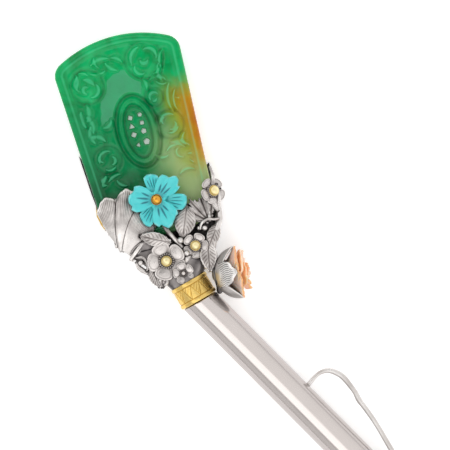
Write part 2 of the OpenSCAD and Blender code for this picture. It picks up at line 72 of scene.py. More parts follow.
def turned(p, a, b, angle):
    """Points turned by an angle in the plane of axes a and b."""
    q = np.array(p, float)
    c, s = math.cos(angle), math.sin(angle)
    q[..., a], q[..., b] = c * p[..., a] - s * p[..., b], s * p[..., a] + c * p[..., b]
    return q


# Each of these takes points of one frame to the row's, which is centred on the hairpin's box


def from_shaft(p):
    return np.asarray(p, float) - np.array([MID[0], MID[1], 0.0])


def from_axis(p):
    return from_shaft(turned(np.asarray(p, float), 2, 0, DIP) + np.array([0, 0, AXIS_Z]))


def from_head(p):
    return from_shaft(turned(np.asarray(p, float) - np.array([ROOT[0], ROOT[1], 0.0]), 0, 1, TURN))


def band_in_head(p):
    """Band frame: x to the side, y to the front, z along the band towards the head."""
    q = np.asarray(p, float)
    q = np.stack([q[..., 0], q[..., 2], q[..., 1]], -1)
    return turned(q, 0, 1, BAND_TURN) + np.array([BAND_MID[0], BAND_MID[1], AXIS_Z])


def from_band(p):
    return from_head(band_in_head(p))


def from_cup(p):
    """Cup frame: +z out of its mouth, +x to the front, -y up the photograph."""
    q = np.asarray(p, float)
    q = np.stack([q[..., 2], -q[..., 1], q[..., 0]], -1)
    return from_head(turned(q, 0, 1, CUP_TURN) + np.array(CUP_ROOT))


def smooth(a, b, x):
    t = np.clip((x - a) / (b - a), 0, 1)
    return t * t * (3 - 2 * t)


def hump(x, width):
    return np.exp(-(x / width) ** 2)


def groove(phase, sharp=0.16):
    """One at the lines where phase is a whole number, nothing between them."""
    d = np.abs(phase - np.round(phase))
    return np.exp(-(d / sharp) ** 2)


def ripple(x, y, seed=0):
    """A smooth irregular surface between about -1 and 1."""
    r = np.random.default_rng(seed)
    total = 0
    for k in range(7):
        a, b, c = r.normal(size=3)
        total = total + np.sin((a * x + b * y) * (0.8 + 0.5 * k) + 6 * c) / (1 + 0.5 * k)
    return total / 2.2


def spaced(spec):
    """Even steps from (first, last, count), or angles once round a circle from a count."""
    return np.linspace(*spec) if isinstance(spec, tuple) else np.linspace(0, 2 * pi, spec, endpoint=False)


def lattice(down, along):
    """Two grids of numbers, one that rises down the rows and one that rises along them."""
    return np.meshgrid(spaced(down), spaced(along), indexing="ij")


def polar(centre, r, degrees, z):
    """Points at distance r from a centre, in a direction."""
    a = np.radians(degrees)
    return np.stack([centre[0] + r * np.cos(a), centre[1] + r * np.sin(a), z], -1)


def unit(v):
    """Directions of the same way and length 1."""
    return v / np.maximum(np.linalg.norm(v, axis=-1, keepdims=True), 1e-9)


class Shell:
    """Gathers closed surfaces into one mesh. tone is 0 in an engraved line and 1 on a worn edge; on the stones
    and the jade it also paints shade and highlight.
    """

    def __init__(self):
        self.verts, self.faces, self.tone, self.count = [], [], [], 0

    def add(self, verts, faces, tone):
        self.verts.append(np.asarray(verts, float).reshape(-1, 3))
        self.tone.append(np.broadcast_to(np.asarray(tone, float), (len(self.verts[-1]),)))
        self.faces.append(np.asarray(faces, int) + self.count)
        self.count += len(self.verts[-1])

    def grid(self, p, tone, wrap_j=False, flip=False):
        n, m = p.shape[:2]
        i, j = np.meshgrid(np.arange(n - 1), np.arange(m if wrap_j else m - 1), indexing="ij")
        j2 = (j + 1) % m
        q = np.stack([i * m + j, (i + 1) * m + j, (i + 1) * m + j2, i * m + j2], -1).reshape(-1, 4)
        self.add(p, q[:, ::-1] if flip else q, np.broadcast_to(tone, (n, m)).ravel())

    def sheet(self, p, thick, tone=0.6, wrap=False, under=0.35, bulge=0.5):
        """A sheet with a rounded rim. p is a grid of points on its top, seen with its normal outwards."""
        n, m = p.shape[:2]
        tone = np.broadcast_to(tone, (n, m)).astype(float)
        du = np.gradient(p, axis=0)
        dv = (np.roll(p, -1, 1) - np.roll(p, 1, 1)) if wrap else np.gradient(p, axis=1)
        nor = np.cross(du, dv)
        nor /= np.maximum(np.linalg.norm(nor, axis=-1, keepdims=True), 1e-9)
        low = p - nor * thick
        idx = np.arange(n * m).reshape(n, m)
        if wrap:
            loops = [idx[-1, :], idx[0, ::-1]]
            inner = [idx[-2, :], idx[1, ::-1]]
        else:
            loops = [np.concatenate([idx[:-1, 0], idx[-1, :-1], idx[:0:-1, -1], idx[0, :0:-1]])]
            inner = [np.concatenate([idx[:-1, 1], idx[-2, :-1], idx[:0:-1, -2], idx[1, :0:-1]])]
        i, j = np.meshgrid(np.arange(n - 1), np.arange(m if wrap else m - 1), indexing="ij")
        j2 = (j + 1) % m
        top = np.stack([idx[i, j], idx[i + 1, j], idx[i + 1, j2], idx[i, j2]], -1).reshape(-1, 4)
        verts = [p.reshape(-1, 3), low.reshape(-1, 3)]
        faces = [top, top[:, ::-1] + n * m]
        # The underside takes the tone under: unrubbed oxide on the silver, painted shade on the stones
        tones = [tone.ravel(), np.full(n * m, under)]
        base = 2 * n * m
        P, L = verts[0], verts[1]
        for loop, ins in zip(loops, inner):
            out = P[loop] - P[ins]
            out /= np.maximum(np.linalg.norm(out, axis=-1, keepdims=True), 1e-6)
            k = len(loop)
            mid = (P[loop] + L[loop]) / 2 + out * thick * bulge
            verts.append(mid)
            # The rim is a shade lighter: wear on the silver, a painted highlight on the stones
            tones.append(np.minimum(1, tone.ravel()[loop] + 0.25))
            a, b = np.arange(k), (np.arange(k) + 1) % k
            faces.append(np.stack([loop[a], base + a, base + b, loop[b]], -1))
            faces.append(np.stack([base + a, loop[a] + n * m, loop[b] + n * m, base + b], -1))
            base += k
        self.add(np.concatenate(verts), np.concatenate(faces), np.concatenate(tones))

    def tube(self, path, radius, tone=0.6, sides=14, knots=None, seed=0):
        """A round wire along a smooth path, with round ends. radius may vary along it, and knots roughen it."""
        path = np.asarray(path, float)
        ahead = unit(np.gradient(path, axis=0))
        right = [unit(np.cross(ahead[0], [0.3, 0.2, 1.0]))]
        for way in ahead[1:]:
            right.append(unit(right[-1] - way * right[-1].dot(way)))
        right = np.array(right)
        up = np.cross(ahead, right)

        def capped(rows):
            rows = np.broadcast_to(rows, (len(path),) + np.shape(rows)[1:]).astype(float)
            first, last = np.repeat(rows[:1], CAP_RINGS, 0), np.repeat(rows[-1:], CAP_RINGS, 0)
            return np.concatenate([first, rows, last])

        cap = np.linspace(0, pi / 2, CAP_RINGS + 1)[:-1]
        swell = np.concatenate([np.sin(cap), np.ones(len(path)), np.sin(cap[::-1])])
        beyond = np.concatenate([-np.cos(cap), np.zeros(len(path)), np.cos(cap[::-1])])
        centre = capped(path) + capped(ahead) * (capped(radius) * beyond)[:, None]
        radius = (capped(radius) * swell)[:, None] * np.ones(sides)
        tone = capped(tone)[:, None] * np.ones(sides)
        q = spaced(sides)
        if knots is not None:
            at = np.linspace(0, 1, len(radius))[:, None]
            bump = ripple(at * knots, np.cos(q) * 1.5 + np.sin(q) * 0.8, seed)
            radius = radius * (1 + 0.07 * bump)
            tone = np.clip(tone + 0.2 * bump, 0, 1)
        out = np.cos(q)[:, None] * capped(right)[:, None] + np.sin(q)[:, None] * capped(up)[:, None]
        self.grid(centre[:, None] + radius[..., None] * out, tone, wrap_j=True, flip=True)

    def ball(self, centre, r, tone):
        a, b = lattice((0, pi, 16), 32)
        p = np.stack([np.sin(a) * np.cos(b), np.sin(a) * np.sin(b), np.cos(a)], -1)
        self.grid(np.asarray(centre) + r * p, tone, wrap_j=True)

    def lathe(self, profile, centre, tone, sides, tilt=0.0):
        """A profile of (radius, height) turned about a vertical axis at centre, leaning by tilt about +v."""
        profile = np.asarray(profile, float)
        r, h, a = profile[:, :1], profile[:, 1:], spaced(sides)
        p = np.stack([r * np.cos(a), r * np.sin(a), h * np.ones(sides)], -1)
        tone = np.broadcast_to(tone, (len(profile),))[:, None] * np.ones(sides)
        self.grid(turned(p, 2, 0, tilt) + np.asarray(centre), tone, wrap_j=True, flip=True)

    def piece(self, name, material, slot, *nodes, where=from_head):
        mesh = bpy.data.meshes.new(name)
        verts = where(np.concatenate(self.verts)) * MM
        mesh.from_pydata(verts.tolist(), [], np.concatenate(self.faces).tolist())
        mesh.shade_smooth()
        tone = mesh.attributes.new("tone", "FLOAT", "POINT")
        tone.data.foreach_set("value", np.concatenate(self.tone).astype(np.float32))
        mesh.materials.append(material)
        ob = bpy.data.objects.new(name, mesh)
        bpy.context.scene.collection.objects.link(ob)
        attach(ob, "root")
        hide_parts(*nodes)
        return ob


def fill_ends(ob, smooth_faces=False):
    """Closes every open loop of a mesh with a flat face."""
    bm = bmesh.new()
    bm.from_mesh(ob.data)
    loops = {}
    for e in bm.edges:
        if len(e.link_faces) == 1:
            loops.setdefault(round(sum(v.co.z for v in e.verts) / (2 * LEVEL)), []).append(e)
    for edges in loops.values():
        made = bmesh.ops.triangle_fill(bm, edges=edges, use_beauty=True)
        for part in made["geom"]:
            if isinstance(part, bmesh.types.BMFace):
                part.smooth = smooth_faces
    bmesh.ops.recalc_face_normals(bm, faces=bm.faces)
    bm.to_mesh(ob.data)
    bm.free()


# Materials. A mesh's tone is 0 in engraved lines and 1 on worn edges, and on the stones and the jade it also
# paints shade and highlight. Sizes of patterns are in millimetres


def linear(value):
    """An sRGB hex colour as the linear numbers that Blender takes. Anything else stays as it is."""
    if not isinstance(value, str):
        return value
    parts = [int(value[i:i + 2], 16) / 255 for i in (1, 3, 5)]
    return tuple(v / 12.92 if v <= 0.04045 else ((v + 0.055) / 1.055) ** 2.4 for v in parts) + (1.0,)


# Settings that a kind of node starts from here
USUAL = {"MapRange": {"interpolation_type": "SMOOTHSTEP"}, "Mix": {"data_type": "RGBA"}}


class Nodes:
    """The nodes of a material or of the world."""

    def __init__(self, owner):
        owner.use_nodes = True
        self.owner, self.tree = owner, owner.node_tree

    def put(self, socket, value):
        if isinstance(value, bpy.types.NodeSocket):
            self.tree.links.new(value, socket)
        else:
            socket.default_value = linear(value)

    def add(self, kind, *inputs, out=None, stops=(), **settings):
        """Adds a node and gives back one output, the first unless out names it. Inputs come in order or by
        name, settings by name, and stops are a colour ramp's places and colours."""
        node = self.tree.nodes.new("ShaderNode" + kind)
        for key, value in {**USUAL.get(kind, {}), **settings}.items():
            if key in node.inputs:
                self.put(node.inputs[key], value)
            else:
                setattr(node, key, value)
        for socket, value in zip([s for s in node.inputs if s.enabled], inputs):
            self.put(socket, value)
        if stops:
            marks = node.color_ramp.elements
            while len(marks) < len(stops):
                marks.new(0.5)
            for mark, (place, colour) in zip(marks, stops):
                mark.position, mark.color = place, linear(colour)
        return node.outputs[out] if out else next(s for s in node.outputs if s.enabled)

    def shade(self, shader="Principled BSDF", **sockets):
        """Fills the shader's sockets, with _ for the spaces in their names."""
        for key, value in sockets.items():
            self.put(self.tree.nodes[shader].inputs[key.replace("_", " ")], value)
        return self.owner


def surface(name):
    """A new material's nodes, its coordinates in millimetres, and the tone that its mesh carries."""
    n = Nodes(bpy.data.materials.new(name))
    mm = n.add("Mapping", n.add("TexCoord", out="Object"), Scale=(1 / MM,) * 3)
    return n, mm, n.add("Attribute", out="Fac", attribute_name="tone")


def oxidised_silver(name, dark, mid, light, rough, recess, relief, mottle):
    """Silver that was blackened all over and worn bright again: satin on its faces and bright on its edges, with
    2.6 mm clouds and a 0.35 mm grain. Ambient occlusion that reaches recess mm darkens it: the oxide left in its
    hollows, and painted shade between parts that lie close together."""
    n, mm, tone = surface(name)
    # Ambient occlusion darkens the recesses: the oxide left in the hollows, and painted shade between parts that
    # lie close
    oxide_and_painted_shade = n.add("AmbientOcclusion", out="AO", Distance=recess * MM, samples=8)
    patina = n.add("TexNoise", mm, Scale=1 / 2.6, Detail=4.0, Roughness=0.55)
    grain = n.add("TexNoise", mm, Scale=1 / 0.35, Detail=3.0, Roughness=0.6)
    # The tone's wear and engraving, darkened by that occlusion, then mottled by the patina clouds
    rubbed_and_shaded = n.add("Math", tone, n.add("MapRange", oxide_and_painted_shade, 0.25, 0.95, 0.28, 1.0), operation="MULTIPLY")
    rubbed_and_shaded = n.add("Math", n.add("Math", patina, -0.5), mottle, rubbed_and_shaded, operation="MULTIPLY_ADD")
    dull = n.add("Math", n.add("Math", grain, rubbed_and_shaded, operation="SUBTRACT"), 0.5, 0.5, operation="MULTIPLY_ADD")
    return n.shade(Base_Color=n.add("ValToRGB", rubbed_and_shaded, stops=[(0.06, dark), (0.42, mid), (0.85, light)]),
                   Metallic=0.86, Roughness=n.add("MapRange", dull, 0.1, 0.9, rough - 0.08, rough + 0.22),
                   Normal=n.add("Bump", Height=grain, Distance=relief * MM, Strength=0.6))


def polished_silver():
    """Drawn through a plate and buffed: a mirror with 9 mm patches of haze. Its hair scratches run along it and
    are drawn 0.4 mm wide so that they show. The flanks, of low tone, get a darker colour: painted shade that
    dims what they reflect."""
    n, mm, tone = surface("silver, drawn round and polished, lightly scratched")
    haze = n.add("TexNoise", mm, Scale=1 / 9.0, Detail=3.0)
    hair = n.add("TexNoise", n.add("Mapping", mm, Scale=(0.06, 2.5, 2.5)), Scale=1.0, Detail=2.0)
    # Painted shade: at low tone, on the flanks, the colour turns to the darker grey #b4adab
    colour = n.add("Mix", tone, "#b4adab", n.add("Mix", haze, "#d6cfcc", "#e0d9d6"))
    wear = n.add("Math", haze, 0.6, n.add("Math", hair, 0.4, operation="MULTIPLY"), operation="MULTIPLY_ADD")
    return n.shade(Base_Color=colour, Metallic=1.0, Roughness=n.add("MapRange", wear, 0.3, 0.7, 0.13, 0.2),
                   Normal=n.add("Bump", Height=hair, Distance=0.001 * MM, Strength=0.2))


def gold(name, dark, mid, light, rough, relief=0.002):
    """Gold, darker in its engraved lines and creases and bright on its edges, with 3 mm clouds and a 0.5 mm
    grain.
    """
    n, mm, tone = surface(name)
    grain = n.add("TexNoise", mm, Scale=1 / 0.5, Detail=3.0)
    cloud = n.add("TexNoise", mm, Scale=1 / 3.0, Detail=3.0)
    level = n.add("Math", tone, 0.85, n.add("Math", cloud, 0.15, operation="MULTIPLY"), operation="MULTIPLY_ADD")
    return n.shade(Base_Color=n.add("ValToRGB", level, stops=[(0.15, dark), (0.5, mid), (0.8, light)]),
                   Metallic=1.0, Roughness=n.add("MapRange", grain, 0.3, 0.7, rough - 0.05, rough + 0.1),
                   Normal=n.add("Bump", Height=grain, Distance=relief * MM, Strength=0.5))


def turquoise():
    """Carved and waxed stone: an even sky blue with a soft sheen, with painted shade in the cuts and towards the
    flower's middle, and a painted highlight on the rims and wave crests.
    """
    n, mm, tone = surface("turquoise, carved and waxed")
    cloud = n.add("TexNoise", mm, Scale=1 / 3.5, Detail=3.0, Distortion=0.4)
    fleck = n.add("TexNoise", mm, Scale=1 / 0.8, Detail=4.0, Roughness=0.6)
    colour = n.add("Mix", cloud, "#33ccd0", "#5fdedf")
    # Painted shade: dark teal where the tone is low
    colour = n.add("Mix", n.add("MapRange", tone, 0.0, 0.66), "#0d7c8c", colour)
    # Painted highlight: pale where the tone is high, on the rims
    colour = n.add("Mix", n.add("MapRange", tone, 0.85, 1.0, 0.0, 0.5), colour, "#a6ecea")
    colour = n.add("Mix", n.add("MapRange", fleck, 0.62, 0.75, 0.0, 0.25), colour, "#3fb0b6")
    return n.shade(Base_Color=colour, Roughness=n.add("MapRange", fleck, 0.3, 0.7, 0.3, 0.42),
                   Subsurface_Weight=0.15, Subsurface_Radius=(0.3, 0.9, 1.0), Subsurface_Scale=0.6 * MM,
                   Coat_Weight=0.25, Coat_Roughness=0.2,
                   Normal=n.add("Bump", Height=fleck, Distance=0.02 * MM, Strength=0.4))


def coral():
    """Carved and polished coral: pink at low tones, orange at middle ones, pale at high ones. The tone is
    painted shade, darker at each petal's base and paler at its tip, and carries the warmer colour of some
    petals. Light scatters about a millimetre inside it, which makes it look soft."""
    n, mm, tone = surface("coral, carved and polished")
    cloud = n.add("TexNoise", mm, Scale=1 / 2.6, Detail=3.0, Distortion=0.3)
    grain = n.add("TexNoise", mm, Scale=1 / 0.6, Detail=4.0, Roughness=0.6)
    colour = n.add("ValToRGB", tone, stops=[
        (0.02, "#f0a28e"), (0.15, "#fac2af"), (0.3, "#fdd8c8"), (0.46, "#fddcc6"), (0.6, "#f8b066"),
        (0.75, "#f9c68c"), (0.95, "#fde6d2")])
    colour = n.add("Mix", n.add("MapRange", cloud, 0.4, 0.75, 0.0, 0.35), colour, "#f7b9a4")
    return n.shade(Base_Color=colour, Roughness=0.34, Subsurface_Weight=0.35, Subsurface_Radius=(1.0, 0.45, 0.3),
                   Subsurface_Scale=1.2 * MM, Coat_Weight=0.3, Coat_Roughness=0.18,
                   Normal=n.add("Bump", Height=grain, Distance=0.02 * MM, Strength=0.4))


# Zones of the jade's colour. Columns: u where it starts and is full, v where it starts at the foot and is full,
# v where it is still full towards the top and where it ends, strength, colour. ANYWHERE stands for no limit
ANYWHERE = [-99.0, -98.0]
JADE_ZONES = [
    ANYWHERE + ANYWHERE + [44.0, 57.0, 0.6, "#047244"],
    [6.0, -6.0] + ANYWHERE + [26.0, 44.0, 0.85, "#03552f"],
    [-1.0, 9.0] + ANYWHERE + [33.0, 47.0, 0.8, "#b4c486"],
    [6.0, 11.0, 27.0, 36.0, 46.0, 55.0, 0.85, "#93a012"],
    [9.5, 13.6, 28.0, 35.0, 45.0, 54.0, 0.95, "#c08a06"],
    [12.0, 14.8, 30.0, 36.0, 41.0, 49.0, 0.9, "#b05a08"],
    [12.6, 14.9, 22.0, 28.0, 33.0, 38.0, 0.5, "#c8b870"]]


def jade():
    """Carved and polished jade: wet-looking gloss over cloudy green with an amber skin at one side. The ground
    above the boss is frosted, and light scatters about a millimetre inside."""
    n, mm, tone = surface("jade, carved and polished, green with an amber skin")
    c, s = math.cos(TURN), math.sin(TURN)
    shift = (c * MID[0] + s * MID[1] + ROOT[0], -s * MID[0] + c * MID[1] + ROOT[1], 0.0)
    head = n.add("Mapping", mm, Rotation=(0.0, 0.0, -TURN), Location=shift)
    u = n.add("SeparateXYZ", head)
    v = u.node.outputs["Y"]
    wave = n.add("TexNoise", mm, Scale=1 / 9.0, Detail=3.0, Distortion=0.5)
    cloud = n.add("TexNoise", mm, Scale=1 / 4.5, Detail=4.0, Roughness=0.55, Distortion=0.6)
    fibre = n.add("TexNoise", mm, Scale=1 / 1.3, Detail=4.0, Roughness=0.6)
    # u and v moved to and fro by 2.5 and 3.5 mm, so that the zones have ragged ends
    us = n.add("Math", wave, 5.0, n.add("Math", u, -2.5), operation="MULTIPLY_ADD")
    vs = n.add("Math", cloud, 7.0, n.add("Math", v, -3.5), operation="MULTIPLY_ADD")
    green = n.add("ValToRGB", cloud, stops=[(0.3, "#038f4a"), (0.5, "#04a95f"), (0.72, "#08bc70")])
    for u0, u1, v0, v1, v2, v3, strength, colour in JADE_ZONES:
        tall = n.add("Math", n.add("MapRange", vs, v0, v1), n.add("MapRange", vs, v3, v2), operation="MULTIPLY")
        zone = n.add("Math", n.add("MapRange", us, u0, u1, 0.0, strength), tall, operation="MULTIPLY")
        green = n.add("Mix", zone, green, colour)
    # Painted shade: darker green where the carving's tone is low, in its cuts and grooves
    green = n.add("Mix", n.add("MapRange", tone, 0.45, 0.0, 0.0, 0.5), green, "#02552b", blend_type="MULTIPLY")
    # Painted highlight: pale green where the tone is high, on its ridges and domes
    green = n.add("Mix", n.add("MapRange", tone, 0.66, 0.98, 0.0, 0.32), green, "#5fdcaa")
    green = n.add("Mix", n.add("MapRange", fibre, 0.5, 0.85, 0.0, 0.1), green, "#22cf8a")
    a, b = BOSS_RING
    boss = n.add("Mapping", head, Scale=(1 / a, 1 / b, 0.0), Location=(-BOSS[0] / a, -BOSS[1] / b, 0.0))
    boss = n.add("VectorMath", boss, operation="LENGTH", out="Value")
    ragged = n.add("Math", cloud, 0.3, n.add("Math", boss, -0.15), operation="MULTIPLY_ADD")
    carved = n.add("Math", n.add("Math", tone, -0.5), operation="ABSOLUTE")
    frost = n.add("MapRange", ragged, 1.95, 1.86)
    for value, none, full in ((v, 45.2, 47.0), (us, 4.2, 3.4), (boss, 1.1, 1.16), (carved, 0.06, 0.02)):
        frost = n.add("Math", frost, n.add("MapRange", value, none, full), operation="MULTIPLY")
    green = n.add("Mix", n.add("Math", frost, 0.55, operation="MULTIPLY"), green, "#55a882")
    gloss = n.add("MapRange", fibre, 0.3, 0.7, 0.1, 0.16)
    return n.shade(Base_Color=green, Roughness=n.add("Math", frost, 0.25, gloss, operation="MULTIPLY_ADD"),
                   Subsurface_Weight=0.3, Subsurface_Radius=(0.5, 1.0, 0.5), Subsurface_Scale=1.2 * MM,
                   Coat_Weight=0.06, Coat_Roughness=0.05, Specular_IOR_Level=0.25,
                   Normal=n.add("Bump", Height=fibre, Distance=0.02 * MM, Strength=0.3))


# Silver after: dark, middle and light colour, roughness, reach of the occlusion that darkens recesses with oxide
# and painted shade, relief of the grain, mottling
SILVER = oxidised_silver("silver, chased and oxidised in its recesses",
                         "#2b2726", "#948d8a", "#eae6e3", 0.32, 1.6, 0.012, 0.75)
PETAL_SILVER = oxidised_silver("silver, raised petals with bright worn edges",
                               "#3a3533", "#a09a97", "#e6e1de", 0.3, 1.3, 0.004, 0.35)
# A darker copy of the same silver, for the back plate, the socket, the leaf bowl and the cup's stalk, which lie
# low, under and behind the others
DARK_SILVER = oxidised_silver("silver, oxidised, in a darker copy for the low parts",
                              "#2a282a", "#8d8887", "#bdb8b6", 0.36, 1.6, 0.012, 0.75)
CUP_SILVER = oxidised_silver("silver, chased in wavy lines",
                             "#2c2c33", "#a3a19f", "#e8e6e4", 0.34, 1.0, 0.006, 0.4)
TWIG_SILVER = oxidised_silver("silver wire, drawn and hammered",
                              "#8a8582", "#c9c4c1", "#ece9e7", 0.3, 0.4, 0.012, 0.75)
POLISHED = polished_silver()
# Gold after: dark, middle and light colour, roughness
GOLD = gold("gold, engraved band", "#74501e", "#cfa44c", "#ebca78", 0.28)
BEAD_GOLD = gold("gold, satin dome", "#b08a40", "#f0dc96", "#fff2c4", 0.34)
AMBER_GOLD = gold("gold, warm granular bead", "#7c4310", "#cf8a2c", "#f0b24c", 0.26, relief=0.02)
TURQUOISE = turquoise()
CORAL = coral()
JADE = jade()


# Jade plaque


def plaque_distance(u, v):
    """Distance inside the plaque's outline, negative outside it."""
    au = np.abs(u)
    cv = PLAQUE_TOP - ARCH_R
    su = PLAQUE_HALF - CORNER_R
    sv = cv + math.sqrt((ARCH_R - CORNER_R) ** 2 - su ** 2)
    arch = ARCH_R - np.hypot(u, v - cv)
    corner = CORNER_R - np.hypot(au - su, v - sv)
    above = np.arctan2(v - cv, au) > math.atan2(sv - cv, su)
    top = np.where(above, arch, np.where(v > sv, corner, 99.0))
    lo_u, lo_v = PLAQUE_LOW - FOOT_R, PLAQUE_FOOT + FOOT_R
    slope = (PLAQUE_HALF - PLAQUE_LOW) / (sv - lo_v)
    side = (PLAQUE_LOW + slope * (v - lo_v) - au) * math.cos(math.atan(slope))
    foot = np.where(au > lo_u, FOOT_R - np.hypot(au - lo_u, v - lo_v), v - PLAQUE_FOOT)
    out = np.where(v > sv, top, side)
    out = np.where((v <= sv) & above, np.minimum(side, arch), out)
    return np.where(v < lo_v, foot, np.minimum(out, np.maximum(v - PLAQUE_FOOT, 0) + 99 * (v > lo_v)))


# Carved strokes. Columns: centre u, v, radius, start angle, end angle, width
STROKES = [
    [-9.6, 54.6, 3.0, 20, 75, 1.0], [-9.0, 56.6, 2.2, 120, 230, 0.7], [-7.6, 54.6, 1.7, 250, 400, 0.8],
    [-8.8, 54.9, 0.8, 60, 260, 0.7], [-9.2, 57.6, 1.6, 20, 110, 0.6],
    [6.2, 58.5, 3.1, 100, 190, 0.8], [7.4, 58.9, 1.9, 330, 470, 0.8], [5.0, 56.6, 1.5, 150, 290, 0.8],
    [6.2, 58.3, 0.9, 180, 340, 0.8], [8.0, 56.2, 1.6, 250, 360, 0.6],
    [-8.3, 37.7, 2.1, 60, 190, 0.7], [-7.6, 37.3, 1.0, 270, 420, 0.7], [-9.3, 38.3, 0.9, 120, 260, 0.6],
    [-8.2, 36.6, 1.5, 220, 330, 0.6],
    [8.0, 42.3, 2.2, 50, 170, 0.7], [8.4, 41.7, 1.1, 240, 390, 0.7], [7.2, 43.0, 0.8, 90, 230, 0.6],
    [8.0, 42.1, 2.2, 250, 330, 0.6],
    [6.2, 49.2, 1.1, 20, 210, 0.7], [6.0, 48.9, 0.7, 230, 350, 0.5],
    [-3.6, 56.8, 4.4, 66, 128, 1.0], [-5.0, 61.2, 3.4, 236, 300, 0.8], [0.6, 61.0, 3.6, 196, 252, 0.9],
    [-1.4, 58.2, 2.6, 20, 92, 0.8], [-3.4, 60.9, 2.0, 150, 230, 0.6],
    [-14.2, 58.2, 4.0, 320, 372, 0.7], [13.6, 56.4, 4.0, 128, 190, 0.8], [13.2, 54.2, 4.6, 150, 205, 0.8],
    [7.6, 51.2, 2.6, 28, 122, 0.9], [2.2, 52.4, 3.0, 338, 392, 0.9], [9.4, 53.6, 2.0, 200, 290, 0.6],
    [16.6, 47.4, 7.4, 146, 200, 0.9], [15.4, 46.6, 5.0, 140, 202, 0.7], [12.2, 49.2, 1.8, 230, 330, 0.6],
    [-13.6, 50.4, 4.0, 318, 376, 1.3], [-7.4, 48.6, 4.4, 158, 208, 1.4], [-13.8, 46.2, 4.2, 340, 396, 1.2],
    [-7.2, 44.4, 3.6, 150, 216, 1.3], [-10.2, 41.2, 2.6, 20, 98, 1.2], [-6.8, 47.0, 1.8, 250, 350, 1.0],
    [-10.6, 41.2, 2.4, 120, 190, 0.9],
    [-12.4, 34.6, 2.6, 280, 350, 0.9], [-9.0, 30.2, 3.8, 96, 152, 1.0], [-7.0, 30.4, 3.4, 80, 140, 0.9],
    [-5.2, 33.0, 2.4, 190, 262, 0.8], [-10.8, 29.4, 2.6, 70, 150, 0.8],
    [7.6, 33.4, 4.4, 36, 96, 0.9], [7.8, 34.2, 2.8, 40, 140, 0.8], [9.0, 35.0, 1.2, 100, 280, 0.6],
    [10.2, 30.8, 3.4, 20, 88, 0.8], [4.8, 37.0, 2.2, 214, 296, 0.8], [12.0, 37.6, 2.0, 120, 214, 0.8],
    [9.2, 28.2, 2.6, 50, 140, 0.8], [11.8, 33.2, 1.4, 200, 320, 0.6]]

# Round carvings. Columns: centre u, v, radius
ROUNDELS = [[-8.5, 55.6, 3.9], [6.2, 58.3, 4.4], [-8.3, 37.7, 3.2], [8, 42.1, 3.3], [6.2, 49.2, 2.1]]

# Openings in the pierced plate. Columns: u, v from the boss, width, corners, turn
PIERCINGS = [
    [-1.1, 3.6, 1.2, 4, 20], [1.3, 3.8, 1.0, 5, 0], [-1.3, 1.5, 1.4, 3, 90], [1.3, 1.8, 1.1, 4, 40],
    [-1.3, -0.5, 1.3, 4, 10], [1.2, -0.2, 1.2, 5, 30], [-0.9, -3.1, 1.1, 3, 60], [1.2, -2.8, 1.4, 5, 10]]


def pierced(u, v):
    """Distance outside the nearest opening of the pierced plate, negative within it."""
    best = np.full(u.shape, 99.0)
    for x, y, width, corners, turn in PIERCINGS:
        du, dv = u - BOSS[0] - x, v - BOSS[1] - y
        a = np.arctan2(dv, du) - math.radians(turn)
        sector = 2 * pi / corners
        a = (a + sector / 2) % sector - sector / 2
        a = np.where(np.abs(a) < 1e-9, 1e-9, a)
        half = sector / 2
        d = np.hypot(du, dv) * np.cos(np.abs(np.abs(a) - half)) - width * 0.58 * math.cos(half)
        best = np.minimum(best, d * 0.9)
    return best


def oval(u, v, a, b):
    """Rough distance outside an oval round the boss."""
    x, y = (u - BOSS[0]) / a, (v - BOSS[1]) / b
    r = np.hypot(x, y)
    return (r - 1) * np.hypot(u - BOSS[0], v - BOSS[1]) / np.maximum(r, 1e-6)


# Widths and heights of the carving: the border with its bevel and raised line, then what stands up inside it
BORDER, BEVEL_WIDE, BEVEL_DEEP, BORDER_LINE = 2.3, 1.1, 0.7, 1.75
ROUNDEL_HIGH, STROKE_HIGH, BOSS_HIGH, HOLLOW_DEEP = 0.45, 0.46, 0.62, 1.15


